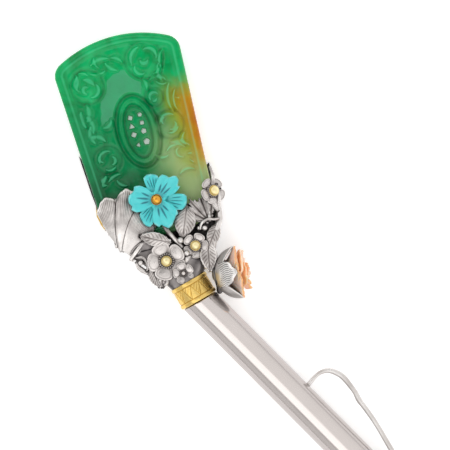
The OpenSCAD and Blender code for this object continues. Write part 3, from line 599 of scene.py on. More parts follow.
def jade_relief(u, v):
    """Height and tone of the carved face. The tone is painted light: highlight on the domes, ridges, the boss's
    ring and the border's raised line, shade in the cuts, grooves, moat, at the hollow's edge and round the
    openings.
    """
    d = plaque_distance(u, v)
    field = smooth(BORDER, BORDER + 0.6, d)
    z = GROUND_Z + 0.04 * ripple(u * 0.5, v * 0.5, 3)
    tone = np.full(u.shape, 0.5)
    for cu, cv, r in ROUNDELS:
        q = np.hypot(u - cu, v - cv)
        dome = np.sqrt(np.clip(1 - (q / r) ** 2, 0, 1))
        z += field * (ROUNDEL_HIGH * dome - 0.2 * hump(q - r - 0.1, 0.45))
        # Painted highlight on each roundel's dome, painted shade in the groove round it
        tone += field * (0.1 * dome - 0.24 * hump(q - r - 0.1, 0.5))
    for cu, cv, r, a0, a1, w in STROKES:
        du, dv = u - cu, v - cv
        near = np.hypot(du, dv) < r + 3
        mid, half = (a0 + a1) / 2 * DEGREE, (a1 - a0) / 2 * DEGREE
        along = np.clip((np.arctan2(dv, du) - mid + pi) % (2 * pi) - pi, -half, half)
        q = np.hypot(du - r * np.cos(along + mid), dv - r * np.sin(along + mid))
        width = w * 0.56 * (0.35 + 0.65 * np.cos(along / half * pi / 2))
        ridge = np.where(near, hump(q, width), 0)
        cut = np.where(near, hump(q - width * 1.9, 0.22), 0)
        z += field * (STROKE_HIGH * ridge - 0.1 * cut)
        # Painted highlight on each stroke's ridge, painted shade in the cut beside it
        tone += field * (0.46 * ridge - 0.12 * cut)
    ring, hollow, moat = oval(u, v, *BOSS_RING), oval(u, v, *BOSS_HOLLOW), oval(u, v, *BOSS_MOAT)
    z += BOSS_HIGH * smooth(0.35, -0.35, ring) - 0.3 * hump(ring - 0.5, 0.3) - 0.35 * hump(moat, 0.45)
    z += 0.12 * hump(hollow + 1.0, 0.3) - HOLLOW_DEEP * smooth(0.2, -0.3, hollow)
    # Painted highlight on the boss's ring, painted shade in its moat and at the hollow's edge
    tone += 0.22 * smooth(0.2, -0.2, ring) * smooth(-0.2, 0.2, hollow) - 0.35 * hump(moat, 0.5)
    tone -= 0.3 * hump(hollow + 0.35, 0.4)
    bevel = BEVEL_DEEP * (1 - np.sqrt(np.clip(1 - (1 - np.clip(d / BEVEL_WIDE, 0, 1)) ** 2, 0, 1)))
    border = FACE_Z - bevel - 0.22 * smooth(0.5, 1.3, d) + 0.16 * hump(d - BORDER_LINE, 0.38)
    # Painted highlight along the border's raised line, painted shade at the bevel's foot
    shine = 0.62 + 0.25 * hump(d - BORDER_LINE, 0.4) - 0.1 * hump(d - BEVEL_WIDE, 0.3)
    z = border * (1 - field) + z * field - 0.22 * hump(d - 2.35, 0.28)
    # Painted shade in the groove inside the border
    tone = shine * (1 - field) + tone * field - 0.2 * hump(d - 2.45, 0.35)
    # Painted shade round the openings, in the tone returned below
    hole = hump(pierced(u, v), 0.25)
    return np.minimum(z - 0.15 * hole, FACE_Z), np.clip(tone - 0.3 * hole, 0, 1)


def slopes(f, u, v, e=0.02):
    """How fast f rises along u and along v."""
    return (f(u + e, v) - f(u - e, v)) / (2 * e), (f(u, v + e) - f(u, v - e)) / (2 * e)


SNAP = 0.62  # grid points closer to an outline than this share of a step are moved onto it


def snapped(f, values, u, v, step):
    """Grid points, with those near the line f = 0 moved onto it."""
    near = np.abs(values) < SNAP * step
    for _ in range(3):
        gu, gv = slopes(f, u, v)
        move = np.where(near, f(u, v) / np.maximum(gu ** 2 + gv ** 2, 0.2), 0)
        u, v = u - move * gu, v - move * gv
    return u, v


# Rings down the plaque's side. Columns: height, how far it is drawn in
PLAQUE_SIDE = [[3.9, 0.0], [2.6, 0.0], [1.35, 0.0], [0.98, 0.14], [PLAQUE_Z, 0.5]]


def make_plaque(step=0.19):
    """The carved face as a grid trimmed to the outline and the openings, with sides and a flat back."""
    u, v = np.meshgrid(np.arange(-PLAQUE_HALF - step, PLAQUE_HALF + 2 * step, step),
                       np.arange(PLAQUE_FOOT - step, PLAQUE_TOP + 2 * step, step), indexing="ij")
    rim_gap, hole_gap = plaque_distance(u, v), pierced(u, v)
    u, v = snapped(plaque_distance, rim_gap, u, v, step)
    u, v = snapped(pierced, hole_gap, u, v, step)
    gap = np.minimum(rim_gap, hole_gap)
    quarters = [np.s_[:-1, :-1], np.s_[1:, :-1], np.s_[1:, 1:], np.s_[:-1, 1:]]
    kept = np.logical_and.reduce([gap[k] > -SNAP * step for k in quarters])
    kept &= sum(gap[k] for k in quarters) > 0.1 * step
    z, tone = jade_relief(u, v)
    index = np.arange(u.size).reshape(u.shape)
    used, quads = np.unique(np.stack([index[k] for k in quarters], -1)[kept], return_inverse=True)
    quads = quads.reshape(-1, 4)
    face = np.stack([u, v, z], -1).reshape(-1, 3)[used]
    edges = np.concatenate([quads[:, [k, (k + 1) % 4]] for k in range(4)])
    known = set(map(tuple, edges.tolist()))
    open_edges = np.array([(a, b) for a, b in edges.tolist() if (b, a) not in known])
    rim = np.unique(open_edges)
    a, b = np.searchsorted(rim, open_edges).T
    outer = plaque_distance(*face[rim, :2].T) < 0.4
    inward = np.stack(slopes(plaque_distance, *face[rim, :2].T), -1) * outer[:, None]
    s = Shell()
    verts, faces, above = [face], [quads], rim
    for height, inset in PLAQUE_SIDE:
        below = np.arange(len(rim)) + sum(len(p) for p in verts)
        verts.append(np.column_stack([face[rim, :2] + inward * inset, np.full(len(rim), height)]))
        faces.append(np.stack([above[a], below[a], below[b], above[b]], -1))
        above = below
    side_tone = np.full(len(rim) * len(PLAQUE_SIDE), 0.6)
    s.add(np.concatenate(verts), np.concatenate(faces), np.concatenate([tone.ravel()[used], side_tone]))
    fill_ends(s.piece("jade_carving", JADE, "jade", "jade_plaque"), smooth_faces=True)


make_plaque()


# Lotus leaf of the mount: rim seen from the point that its folds run to. Columns: angle, radius
LOTUS_RIM = np.array([[20, 8.5], [34, 12.6], [45, 14.6], [56, 16.6], [64, 17.8], [72, 18.3], [77, 16.8],
                      [80, 15.6], [84, 16.4], [89, 16.5], [94, 15.4], [99, 14]])
LOTUS_HUB = np.array([-11.9, 12.6])
LOTUS_LOW, LOTUS_DOME = 5.7, 2.9
LOTUS_START = 3.6  # how far from the hub its top begins
LEFT_FOLD, RIGHT_FOLD = 79, 57  # angles at which the two folds meet the rim


def lotus_surface():
    """The leaf's top, as a fan of lines from the hub with two deep folds, and its tone."""
    b, a = lattice((0, 1, 62), (0, 1, 440))
    right, left = 21 + 12 * b, 80 + 18.5 * (1 - (1 - b) ** 3.5)
    q = right + (left - right) * a
    rim = np.interp(q, LOTUS_RIM[:, 0], LOTUS_RIM[:, 1]) + 0.1 * np.sin(q * 1.1)
    r = LOTUS_START + (rim - LOTUS_START) * b
    c1, c2 = q - LEFT_FOLD - 6 * (1 - b), q - RIGHT_FOLD - 14 * (1 - b)
    crease = hump(c1, 0.3) + hump(c2, 0.3)
    step = 0.22 * smooth(0, 2.5, c1) + 0.18 * smooth(0, 2.5, -c2)
    dome = np.exp(-((q - 74) / 30) ** 2 - ((b - 0.4) / 0.52) ** 2)
    inside = smooth(1.0, 0.96, b)
    lines = groove(q / 1.7 + 0.2 * ripple(q * 0.15, b * 2.5, 5), 0.12) * smooth(0.28, 0.5, b) * inside
    fine = groove(q / 0.85 + 0.3, 0.12) * smooth(0.62, 0.75, b) * smooth(1.0, 0.9, b)
    hair = groove(q / 1.15 + 0.35 * ripple(q * 0.3, b * 5, 9), 0.16) * smooth(0.3, 0.6, b) * inside
    wave = 0.16 * np.sin(q * 0.33 + 2.2 * b) * smooth(0.2, 0.6, b)
    z = LOTUS_LOW + LOTUS_DOME * dome + 0.3 + wave + step - 0.2 * crease
    z = z - 0.06 * lines - 0.03 * fine - 0.02 * hair
    z = z - 0.45 * smooth(0.9, 1.0, b) - 0.5 * smooth(0.93, 1.0, a) * b
    tone = 0.74 - 0.5 * crease - 0.36 * lines - 0.2 * fine - 0.2 * hair
    tone = tone + 0.1 * dome + 0.1 * ripple(q * 0.09, b * 2.2, 11) + 0.2 * smooth(0.955, 0.985, b)
    return polar(LOTUS_HUB, r, q, z), tone


def make_lotus_leaf():
    s = Shell()
    p, tone = lotus_surface()
    s.sheet(p, LOTUS_THICK, tone)
    t = np.linspace(0, 1, 40)
    roll = np.stack([-9.3 + 4.3 * t, 13.6 + 3.35 * t, 6.6 + 0.35 * np.sin(pi * t)], -1)
    s.tube(roll, 0.42 + 0.12 * np.sin(pi * t), 0.85)
    s.tube(roll + [0.32, -0.55, -0.2], 0.2, 0.75)
    s.piece("lotus_leaf", SILVER, "oxidised_silver", "silver_mount")


make_lotus_leaf()


def blade(s, base, tip, w, blunt, rise, cup, skew=1.0, veins=7, depth=0.09, tone=0.68):
    """A chased leaf from one point to another, with a midrib and side veins."""
    base, tip = np.array(base, float), np.array(tip, float)
    d = tip - base
    length = np.linalg.norm(d)
    t, x = lattice((0, 1, 46), (-1, 1, 30))
    half = w / 2 * np.maximum(0.04, np.sin(pi * t ** skew) ** blunt)
    y, off = half * x, np.abs(x)
    rib = hump(y, 0.16) * smooth(0.0, 0.1, t) * smooth(1.0, 0.85, t)
    side = groove(t * veins - off * 0.45 * w / length * veins, 0.17)
    side = side * smooth(0.1, 0.3, off) * smooth(1.0, 0.86, off)
    z = rise * np.sin(pi * t) + cup * x * x * half * 2 / w - depth * 1.5 * rib - depth * side
    p = turned(np.stack([length * t, y, z], -1), 0, 2, math.asin(d[2] / length))
    p = turned(p, 0, 1, math.atan2(d[1], d[0])) + base
    s.sheet(p, LEAF_THICK, tone - 0.4 * rib - 0.33 * side + 0.2 * smooth(0.86, 1.0, off))


# Leaves. Columns: name, base, tip, width, bluntness, rise, cup, skew, veins
LEAVES = [
    ["stem_leaf", [6.9, 22.4, 6.8], [3.9, 15.2, 7.5], 5.0, 0.75, 0.9, -0.5, 0.9, 9],
    ["bud_leaf", [1.0, 14.9, 8.1], [-5.7, 18.3, 7.7], 3.2, 0.8, 0.9, -0.4, 1, 8],
    ["right_leaf", [12.9, 16.4, 6.8], [9.2, 11.6, 7.5], 3.0, 0.8, 0.7, -0.4, 1, 7],
    ["spade_leaf", [9.2, 12.6, 7.3], [8.0, 6.0, 7.9], 3.6, 0.75, 0.7, 0.3, 0.85, 8],
    ["scroll_leaf", [-5.0, 11.4, 6.6], [-4.4, 5.6, 6.6], 3.1, 0.6, 0.7, -0.4, 1.1, 9],
    ["curl_leaf", [-2.6, 9.6, 7.0], [-3.9, 5.3, 6.9], 2.6, 0.65, 0.6, -0.4, 1, 7]]

for name, *form in LEAVES:
    s = Shell()
    blade(s, *form)
    s.piece(name, SILVER, "oxidised_silver", "silver_mount")

s = Shell()
blade(s, [-8.8, 14.8, 6.97], [-2.2, 14.6, 7.3], 3.8, 0.7, -0.2, 0.3, veins=1, depth=0.0, tone=0.45)
s.piece("leaf_bowl", DARK_SILVER, "oxidised_silver", "silver_mount")

# Lobed leaf at the right, seen from its stalk. Columns: angle, radius
LOBED_HUB = np.array([10.9, 17.2])
LOBED_RIM = np.array([[55, 2.6], [66, 4.9], [76, 4.5], [94, 6], [104, 5.2], [117, 6.9], [125, 5.4],
                      [131, 5.9], [138, 5.0], [145, 5.2], [151, 4.0], [158, 4.2], [166, 2.4]])
LOBED_RIBS = (66, 94, 117, 136)


def make_lobed_leaf():
    t, q = lattice((0.14, 1, 50), (55, 166, 150))
    r = np.interp(q, LOBED_RIM[:, 0], LOBED_RIM[:, 1]) * t
    r = r * (1 + 0.05 * np.sin(np.radians(q) * 60) * smooth(0.6, 1, t))
    ribs = sum(hump((q - a) * r * 0.0175, 0.15) for a in LOBED_RIBS)
    folds = np.sin(np.radians(q * 15))
    lines = groove(q / 3.2 + t * 2.2 * np.sign(folds), 0.17) * smooth(0.3, 0.5, t)
    z = 7.05 + 0.9 * t * (1.2 - t) + 0.3 * folds * t - 0.12 * ribs - 0.07 * lines
    s = Shell()
    s.sheet(polar(LOBED_HUB, r, q, z), LEAF_THICK, 0.74 - 0.4 * ribs - 0.33 * lines)
    s.piece("lobed_leaf", SILVER, "oxidised_silver", "silver_mount")


make_lobed_leaf()

# Blossoms. Columns: name, centre, middle of a petal, its half length and half width, height, tilt about +v,
# radius of the bead, angles of the petals
BLOSSOMS = [
    ["plum_blossom", [-1.2, 11, 8.1], 2.85, 1.82, 2.2, 0.42, 0, 1.25, [101.5, 24, -42, -116, 170]],
    ["small_blossom", [6.3, 12.7, 7.9], 2.0, 1.1, 1.36, 0.28, 0, 1.2, [126, 50, -18, -98, 203]],
    ["side_blossom", [13.6, 24, 6.9], 2.15, 1.15, 1.42, 0.3, 28, 1.3, [117, 192, 255, 322, 42]],
    ["tiny_blossom", [1.9, 7.2, 8.68], 1.55, 1.05, 1.15, 0.3, 0, 0.5, [21.5, 93.5, 165.5, 237.5, 309.5]]]
BEAD_LIFT = 0.65


def make_blossom(name, centre, middle, long, wide, puff, tilt, bead_r, angles):
    s = Shell()
    large = puff > 0.4

    def disc(p, thick, tone):
        s.sheet(turned(p, 2, 0, tilt * DEGREE) + centre, thick, tone, wrap=True)

    # Petals, each a puffed oval with fine lines round its rim
    t, a = lattice((0.02, 1, 25), 56)
    root = 0.5 - 0.5 * np.cos(a)
    dome = np.sqrt(np.clip(1 - 0.97 * t ** 5, 0, 1))
    lines = groove(a * 30 / (2 * pi), 0.16) * smooth(0.62, 0.78, t) * smooth(1.0, 0.94, t) * (1 - root)
    lines = lines * (0.25 if large else 0.8)
    z = puff * dome + 0.1 * t ** 3 * (1 - root) - 0.2 * t * root - 0.09 * hump(t - 0.74, 0.07) - 0.03 * lines
    # Painted highlight on each petal's dome; the engraved rim line is darker and the rim beyond it worn bright
    tone = 0.58 - 0.3 * lines + 0.16 * dome - 0.16 * hump(t - 0.74, 0.08) + 0.16 * smooth(0.8, 0.9, t)
    # Darker towards the flower's middle, where each petal dips under the ring
    tone = tone - 0.35 * smooth(0.5, 1.0, root) * smooth(0.3, 1, t)
    x = middle + t * long * (np.cos(a) - 0.07 * np.cos(2 * a) * t)
    y = t * wide * np.sin(a) * (1 + 0.12 * np.cos(a))
    for k, angle in enumerate(angles):
        disc(turned(np.stack([x, y, z + 0.12 * (k % 2)], -1), 0, 1, angle * DEGREE), PETAL_THICK, tone)

    # Plate under the petals, its near-black tone painted shade in the gaps between them, and the ribbed ring
    # round the bead
    t, a = lattice((0, 1, 20), 120)
    r = (middle + long) * 0.72 * t
    disc(np.stack([r * np.cos(a), r * np.sin(a), np.full_like(a, -0.05)], -1), LEAF_THICK, 0.05)
    ribs = 0.5 + 0.5 * np.cos(20 * a)
    r = (bead_r + (0.75 if large else 0.35)) * t
    z = 0.3 + 0.22 * smooth(0.3, 0.6, t) + 0.16 * ribs * smooth(0.6, 0.8, t) - 0.3 * smooth(0.88, 1.0, t)
    disc(np.stack([r * np.cos(a), r * np.sin(a), z], -1), PETAL_THICK, 0.08 + 0.5 * ribs * smooth(0.62, 0.8, t))

    # Post that carries the bead. The tiny blossom has a silver ball on it instead
    post = [[0.01, BEAD_LIFT], [bead_r, BEAD_LIFT], [bead_r * 1.05, 0.5], [bead_r * 0.9, -1.3], [0.01, -1.5]]
    if name == "tiny_blossom":
        s.ball(np.array(centre) + [0, 0, 0.5], bead_r, 0.8)
        post = [[0.01, 0.3], [0.6, 0.3], [0.6, -0.6], [0.01, -0.7]]
    s.lathe(post[::-1], centre, 0.3, 48, tilt * DEGREE)
    s.piece(name, PETAL_SILVER, "oxidised_silver", "silver_mount")


for form in BLOSSOMS:
    make_blossom(*form)

# Gold beads. Columns: name, place, height above it, radius, tilt about +v, node, material
BEADS = [
    ["turquoise_flower_bead", FLOWER, 0.2, 1.28, 0, "turquoise_bead", AMBER_GOLD],
    ["plum_blossom_bead", [-1.2, 11, 8.1], BEAD_LIFT, 1.23, 0, "plum_bead", BEAD_GOLD],
    ["small_bead", [6.3, 12.7, 7.9], BEAD_LIFT, 1.19, 0, "small_blossom_bead", BEAD_GOLD],
    ["side_bead", [13.6, 24, 6.9], BEAD_LIFT, 1.27, 28, "side_blossom_bead", BEAD_GOLD]]
# A bead's rolled collar. Columns: radius as a share of the bead's, height
COLLAR = [[0.89, 0.1], [0.92, 0.2], [0.96, 0.22], [0.995, 0.16], [1.0, 0.06], [0.98, 0.0]]


def make_bead(name, place, lift, r, tilt, node, material):
    """A dome in its collar."""
    s = Shell()
    dome = [[r * 0.88 * math.sin(t), 0.12 + r * 0.72 * math.cos(t)] for t in np.linspace(0, pi / 2, 24)]
    dome[0][0] = 0.005
    profile = np.array(dome + [[r * share, high] for share, high in COLLAR] + [[0.01, 0.0]])
    tone = np.interp(profile[:, 0] / r, [0, 0.7, 0.86, 0.93, 1.0], [0.8, 0.72, 0.3, 0.7, 0.5])
    profile = profile + [0, lift + 0.05]
    s.lathe(profile[::-1], place, tone[::-1], 64, tilt * DEGREE)
    s.piece(name, material, "gold_beads", node)


for form in BEADS:
    make_bead(*form)

# Turquoise petals: axis angle, level, then angle from the axis and reach round the lobed rim
PETALS = [
    [162.5, 0, [[-50, 3.0], [-39, 4.9], [-30, 5.6], [-26, 5.85], [-18, 5.5], [-8, 6.25], [0, 6.4],
                [10, 6.3], [17, 5.75], [23, 6.1], [36, 5.35], [45, 3.5]]],
    [41.5, 0, [[-40, 3.2], [-38, 4.5], [-32, 5.6], [-28, 6.05], [-22, 5.7], [-14, 6.75], [-7, 6.9],
               [-1, 6.5], [5, 5.7], [13, 5.85], [20, 5.75], [26, 5.2], [33, 4.25], [41, 2.9]]],
    [-77.5, 0, [[-44, 3.0], [-40, 4.4], [-35, 5.4], [-28, 5.8], [-21, 6.25], [-17, 5.75], [-12, 6.35],
                [-6, 7.0], [3.5, 6.8], [13, 6.1], [21, 5.65], [28, 5.75], [36, 5.2], [46, 3.6]]],
    [89.5, -1, [[-24, 3.4], [-20, 5.2], [-12, 5.6], [-2, 6.0], [8, 6.05], [18, 5.6], [24, 3.8]]],
    [-21.5, -1, [[-27, 3.2], [-20, 5.4], [-15, 6.15], [-6, 6.7], [3, 6.85], [12, 6.8], [19, 6.2], [26, 4.0]]],
    [224.5, -1, [[-26, 3.4], [-20, 5.1], [-10, 5.6], [0, 6.15], [8, 6.4], [16, 6.35], [21, 5.8], [26, 3.6]]]]
# Cuts in a petal. Columns: place across it, start and end along it, width
FRONT_CUTS = [[-0.42, 0.22, 0.62, 0.2], [0.0, 0.2, 0.72, 0.22], [0.4, 0.22, 0.6, 0.2]]
BACK_CUTS = [[-0.55, 0.45, 0.9, 0.12], [-0.2, 0.4, 0.88, 0.12], [0.15, 0.4, 0.9, 0.12], [0.5, 0.45, 0.86, 0.12]]


def make_turquoise():
    s = Shell()
    for axis, level, rim in PETALS:
        front = level == 0
        angle, reach = np.array(rim).T
        a0, a1 = angle[0], angle[-1]
        t, q = lattice((0, 1, 38), (a0, a1, 62))
        x = (2 * q - a0 - a1) / (a1 - a0)
        r = 0.75 + (np.interp(q, angle, reach) - 0.75) * t
        cuts = np.zeros_like(t)
        for place, lo, hi, w in FRONT_CUTS if front else BACK_CUTS:
            off = (x - place) * (a1 - a0) / 2 * 0.01745 * r
            swell = 0.5 + 0.5 * np.sin(np.clip((t - lo) / (hi - lo), 0, 1) * pi)
            cuts += hump(off, w * swell) * smooth(lo - 0.05, lo + 0.12, t) * smooth(hi + 0.1, hi - 0.1, t)
        waves = np.cos(x * 3 * pi)
        z = 0.25 * np.sin(pi * t) + 0.32 * t * t + 0.35 * x * x * t - 0.15 * smooth(0.9, 1.0, t)
        z = z + (0.16 if front else 0.06) * waves * smooth(0.4, 1, t) - (0.2 if front else 0.13) * cuts
        z = z + level + (0.04 if front else 0.02) * x
        # Tone: painted shade in the cuts and towards the flower's middle, painted highlight on the rim and the
        # waves' crests
        tone = 0.62 - 0.6 * np.clip(cuts, 0, 1) + 0.3 * smooth(0.9, 1.0, t) - 0.34 * smooth(0.6, 0.0, t)
        tone = tone + 0.08 * waves * smooth(0.3, 0.8, t)
        s.sheet(polar(FLOWER, r, q + axis, z + FLOWER[2]), TURQUOISE_THICK, tone, under=0.5)
    s.lathe([[0.01, -1.9], [1.45, -1.9], [1.45, 0.0], [1.3, 0.18], [0.01, 0.2]], FLOWER, 0.4, 40)
    s.piece("turquoise_petals", TURQUOISE, "turquoise", "turquoise_flower")


make_turquoise()


def curve(points, n=60):
    """A smooth path through a few points."""
    p = np.asarray(points, float)
    t = np.linspace(0, len(p) - 1, n)
    tangent = np.gradient(p, axis=0)
    i = np.minimum(t.astype(int), len(p) - 2)
    f = (t - i)[:, None]
    h1, h2 = 2 * f ** 3 - 3 * f ** 2 + 1, -2 * f ** 3 + 3 * f ** 2
    h3, h4 = f ** 3 - 2 * f ** 2 + f, f ** 3 - f ** 2
    return h1 * p[i] + h2 * p[i + 1] + h3 * tangent[i] + h4 * tangent[i + 1]


def dense(outline, gap=0.4):
    """Extra points along the sides of an outline, so that its edges can be rounded."""
    p = np.asarray(outline, float)
    out = []
    for a, b in zip(p, np.roll(p, -1, 0)):
        k = max(1, int(round(np.linalg.norm(b - a) / gap)))
        out += [a + (b - a) * i / k for i in range(k)]
    return np.array(out)


def prism(s, outline, heights, tone, soft):
    """The sides of an upright prism between two heights, its top and bottom edges rounded by soft."""
    p = np.asarray(outline, float)
    area = np.sum(p[:, 0] * np.roll(p[:, 1], -1) - np.roll(p[:, 0], -1) * p[:, 1])
    if area < 0:
        p = p[::-1]
    along = np.roll(p, -1, 0) - np.roll(p, 1, 0)
    outward = unit(np.stack([along[:, 1], -along[:, 0]], -1))
    low, high = heights
    edge = [(soft, 0), (soft * 0.3, soft * 0.3), (0, soft)]
    levels = [(inset, low + up) for inset, up in edge] + [(inset, high - up) for inset, up in edge[::-1]]
    rows = [np.column_stack([p - outward * inset, np.full(len(p), z)]) for inset, z in levels]
    s.grid(np.array(rows), tone, wrap_j=True)


# Stems and tendrils. Columns: points, radius at the start, radius at the end
WIRES = [
    [[[0.4, 21, 6.3], [0.6, 18.6, 7.2], [1.9, 15.6, 7.5], [3.1, 13.2, 7.1]], 0.5, 0.55],
    [[[-4.6, 23.6, 6.15], [0.4, 25.2, 6.2], [5.8, 21.4, 6.6]], 0.4, 0.4],
    [[[14.0, 25.4, 6.7], [14.6, 27.4, 6.5], [14.5, 29.6, 6.3]], 0.6, 0.32],
    [[[8.4, 16.2, 7.4], [9.2, 17.4, 7.9], [10.8, 17.9, 8.1], [12.1, 17.5, 7.9], [13.2, 17.3, 7.5]], 0.3, 0.3],
    [[[11.6, 19.6, 7.0], [11.3, 18.6, 7.6], [11.1, 17.6, 7.8]], 0.3, 0.4],
    [[[-2.6, 13.6, 7.3], [-4.6, 12.6, 7.0], [-6.4, 12.9, 6.8]], 0.35, 0.3]]
# Small balls. Columns: place, radius
BALLS = [[[3.2, 14.8, 7.75], 0.78], [[9.5, 16.1, 7.6], 0.62], [[-7.2, 12.2, 7.0], 0.62],
         [[-3.8, 7.1, 7.35], 0.42], [[3.9, 11.5, 8.3], 0.66], [[8.2, 16.4, 7.1], 0.5]]
# Chased ribbons. Columns: points, width at the start, middle and end, how much they bulge, lines along them
RIBBONS = [
    [[[14.9, 25.4, 6.3], [14.7, 22.6, 6.5], [14.0, 20.0, 6.7], [13.4, 17.2, 6.9], [12.1, 15.0, 7.0],
      [11.4, 13.4, 7.1], [10.4, 11.2, 7.2], [9.4, 8.4, 7.2]], 0.9, 1.5, 0.8, 0.5, 0],
    [[[12.6, 21.8, 7.0], [13.2, 20.6, 7.1], [13.6, 19.0, 7.0]], 0.8, 1.4, 0.7, 0.4, 3],
    [[[-8.2, 13.6, 6.7], [-6.6, 13.4, 6.9], [-5.8, 12.2, 7.0], [-5.8, 10.9, 6.9], [-6.4, 9.9, 6.7]],
     0.7, 1.1, 0.7, 0.5, 2],
    [[[-8.2, 12.6, 6.4], [-7.9, 11.2, 6.5], [-7.0, 10.1, 6.5], [-6.1, 9.2, 6.5]], 0.9, 1.3, 0.9, 0.5, 2],
    [[[-3.4, 5.6, 6.9], [-2.6, 5.9, 7.1], [-2.2, 6.8, 7.3], [-2.8, 7.6, 7.4]], 0.7, 1.0, 0.6, 0.4, 2],
    [[[3.0, 9.3, 8.0], [3.7, 10.2, 8.2], [4.6, 10.6, 8.0]], 0.8, 1.3, 0.8, 0.4, 3]]

# Outline of the plate that carries the scrolls
SCROLL_BASE = [[-8.3, 13.9], [-8.1, 11.6], [-7.0, 9.9], [-6.2, 8.6], [-5.9, 7.0], [-4.9, 5.9], [-3.2, 5.7],
               [-1.2, 6.9], [0.5, 9.5], [-2, 13], [-5, 14.4]]


def ribbon(s, points, w0, w1, w2, bulge, cuts):
    path = curve(points, 70)
    ahead = np.gradient(path, axis=0)
    side = unit(np.stack([-ahead[:, 1], ahead[:, 0], 0 * ahead[:, 0]], -1))
    at, x = lattice((0, 1, 70), (-1, 1, 26))
    width = np.interp(at, [0, 0.5, 1], [w0, w1, w2]) * np.sqrt(np.clip(1 - (2 * at - 1) ** 8, 0.02, 1))
    lines = 0 * x
    if cuts:
        lines = groove(x * (cuts + 1) / 2 + (cuts % 2) * 0.5, 0.12) * smooth(1.0, 0.8, np.abs(x))
    p = path[:, None] + side[:, None] * (width * x / 2)[..., None]
    p[..., 2] += bulge * (1 - x * x) - 0.08 * lines
    s.sheet(p, LEAF_THICK, 0.7 - 0.4 * lines + 0.15 * (1 - x * x))


def make_stems():
    s = Shell()
    for points, r0, r1 in WIRES:
        s.tube(curve(points), np.linspace(r0, r1, 60), 0.66, knots=9.0, seed=int(r0 * 100))
    for place, r in BALLS:
        s.ball(place, r, 0.85)
    for form in RIBBONS:
        ribbon(s, *form)
    prism(s, dense(SCROLL_BASE, 0.3), SCROLL_PLATE, 0.42, 0.2)
    s.piece("stems_and_scrolls", SILVER, "oxidised_silver", "silver_mount")


make_stems()

# Back plate, tray and socket of the mount
TRAY_LEFT = [[-2.2, 5.6], [-4.2, 7.4], [-6.4, 11.2], [-8.7, 13.7], [-10.9, 17.1], [-12.7, 20.8], [-14.1, 26]]
TRAY_RIGHT = [[14.3, 26], [14.1, 21], [12.6, 16], [10.6, 11.6], [8.8, 8.4], [7.2, 6.9]]
BACK_TOP = [[-14.6, 31], [-15.1, 40.7], [-13.2, 37], [-11, 32], [-4, 28], [6, 28], [12, 29.6], [14.6, 31]]


def make_plate(name, outline, heights, tone, soft, material, slot, node):
    s = Shell()
    prism(s, outline, heights, tone, soft)
    fill_ends(s.piece(name, material, slot, node))


def make_wall(name, points):
    """A side wall of the tray, with a wire along its top."""
    along, up = 120, 24
    path = curve(points, along)
    ahead = unit(np.gradient(path, axis=0))
    outward = np.stack([ahead[:, 1], -ahead[:, 0]], -1)
    z = np.linspace(0.45, TRAY_HIGH, up)
    side = np.concatenate([np.repeat(path[:, None], up, 1), np.repeat(z[None, :, None], along, 0)], 2)
    s = Shell()
    s.sheet(side[::-1], WALL_THICK, 0.5 + 0.2 * smooth(TRAY_HIGH - 1, TRAY_HIGH, z))
    s.tube(np.column_stack([path + outward * 0.3, np.full(along, TRAY_HIGH - 0.05)]), 0.38, 0.75)
    s.piece(name, SILVER, "oxidised_silver", "silver_mount")


def make_socket():
    """The folded collar between the ferrule and the flowers, blended from a ring to a flat oval."""
    s = Shell()
    t, a = lattice((0, 1, 30), 96)
    r = FERRULE_R - 0.3
    ring = band_in_head(np.stack([r * np.cos(a), r * np.sin(a), np.full_like(a, FERRULE_H / 2 + 0.05)], -1))
    c = np.cos(a)
    mouth = np.stack([2.1 + 9.6 * np.sign(c) * np.abs(c) ** 0.8, 12.6 + 0 * a, 3.95 + 3.5 * np.sin(a)], -1)
    k = (t ** 0.9)[..., None]
    p = ring * (1 - k) + mouth * k
    folds = np.sin(a * 9 + 2 * t)
    p[..., 2] += 0.12 * folds * np.sin(pi * t) * np.sign(np.sin(a))
    s.grid(p, 0.42 + 0.2 * folds, wrap_j=True)
    fill_ends(s.piece("socket", DARK_SILVER, "oxidised_silver", "silver_mount"))


make_plate("back_plate", dense(TRAY_LEFT + BACK_TOP + TRAY_RIGHT), (0.0, BACK_PLATE), 0.12, 0.15,
           DARK_SILVER, "oxidised_silver", "silver_mount")
make_wall("tray_wall_left", TRAY_LEFT)
make_wall("tray_wall_right", TRAY_RIGHT)
make_socket()

# Gilded leaf whose edge shows at the left
GILT = [[-14.3, 28.0], [-14.75, 25.6], [-14.3, 23.3], [-13.6, 21.6], [-13.4, 22.6], [-14.1, 26]]
make_plate("gilt_edge", dense(GILT, 0.3), GILT_PLATE, 0.75, 0.1, GOLD, "gilt_silver", "gilt_leaf")


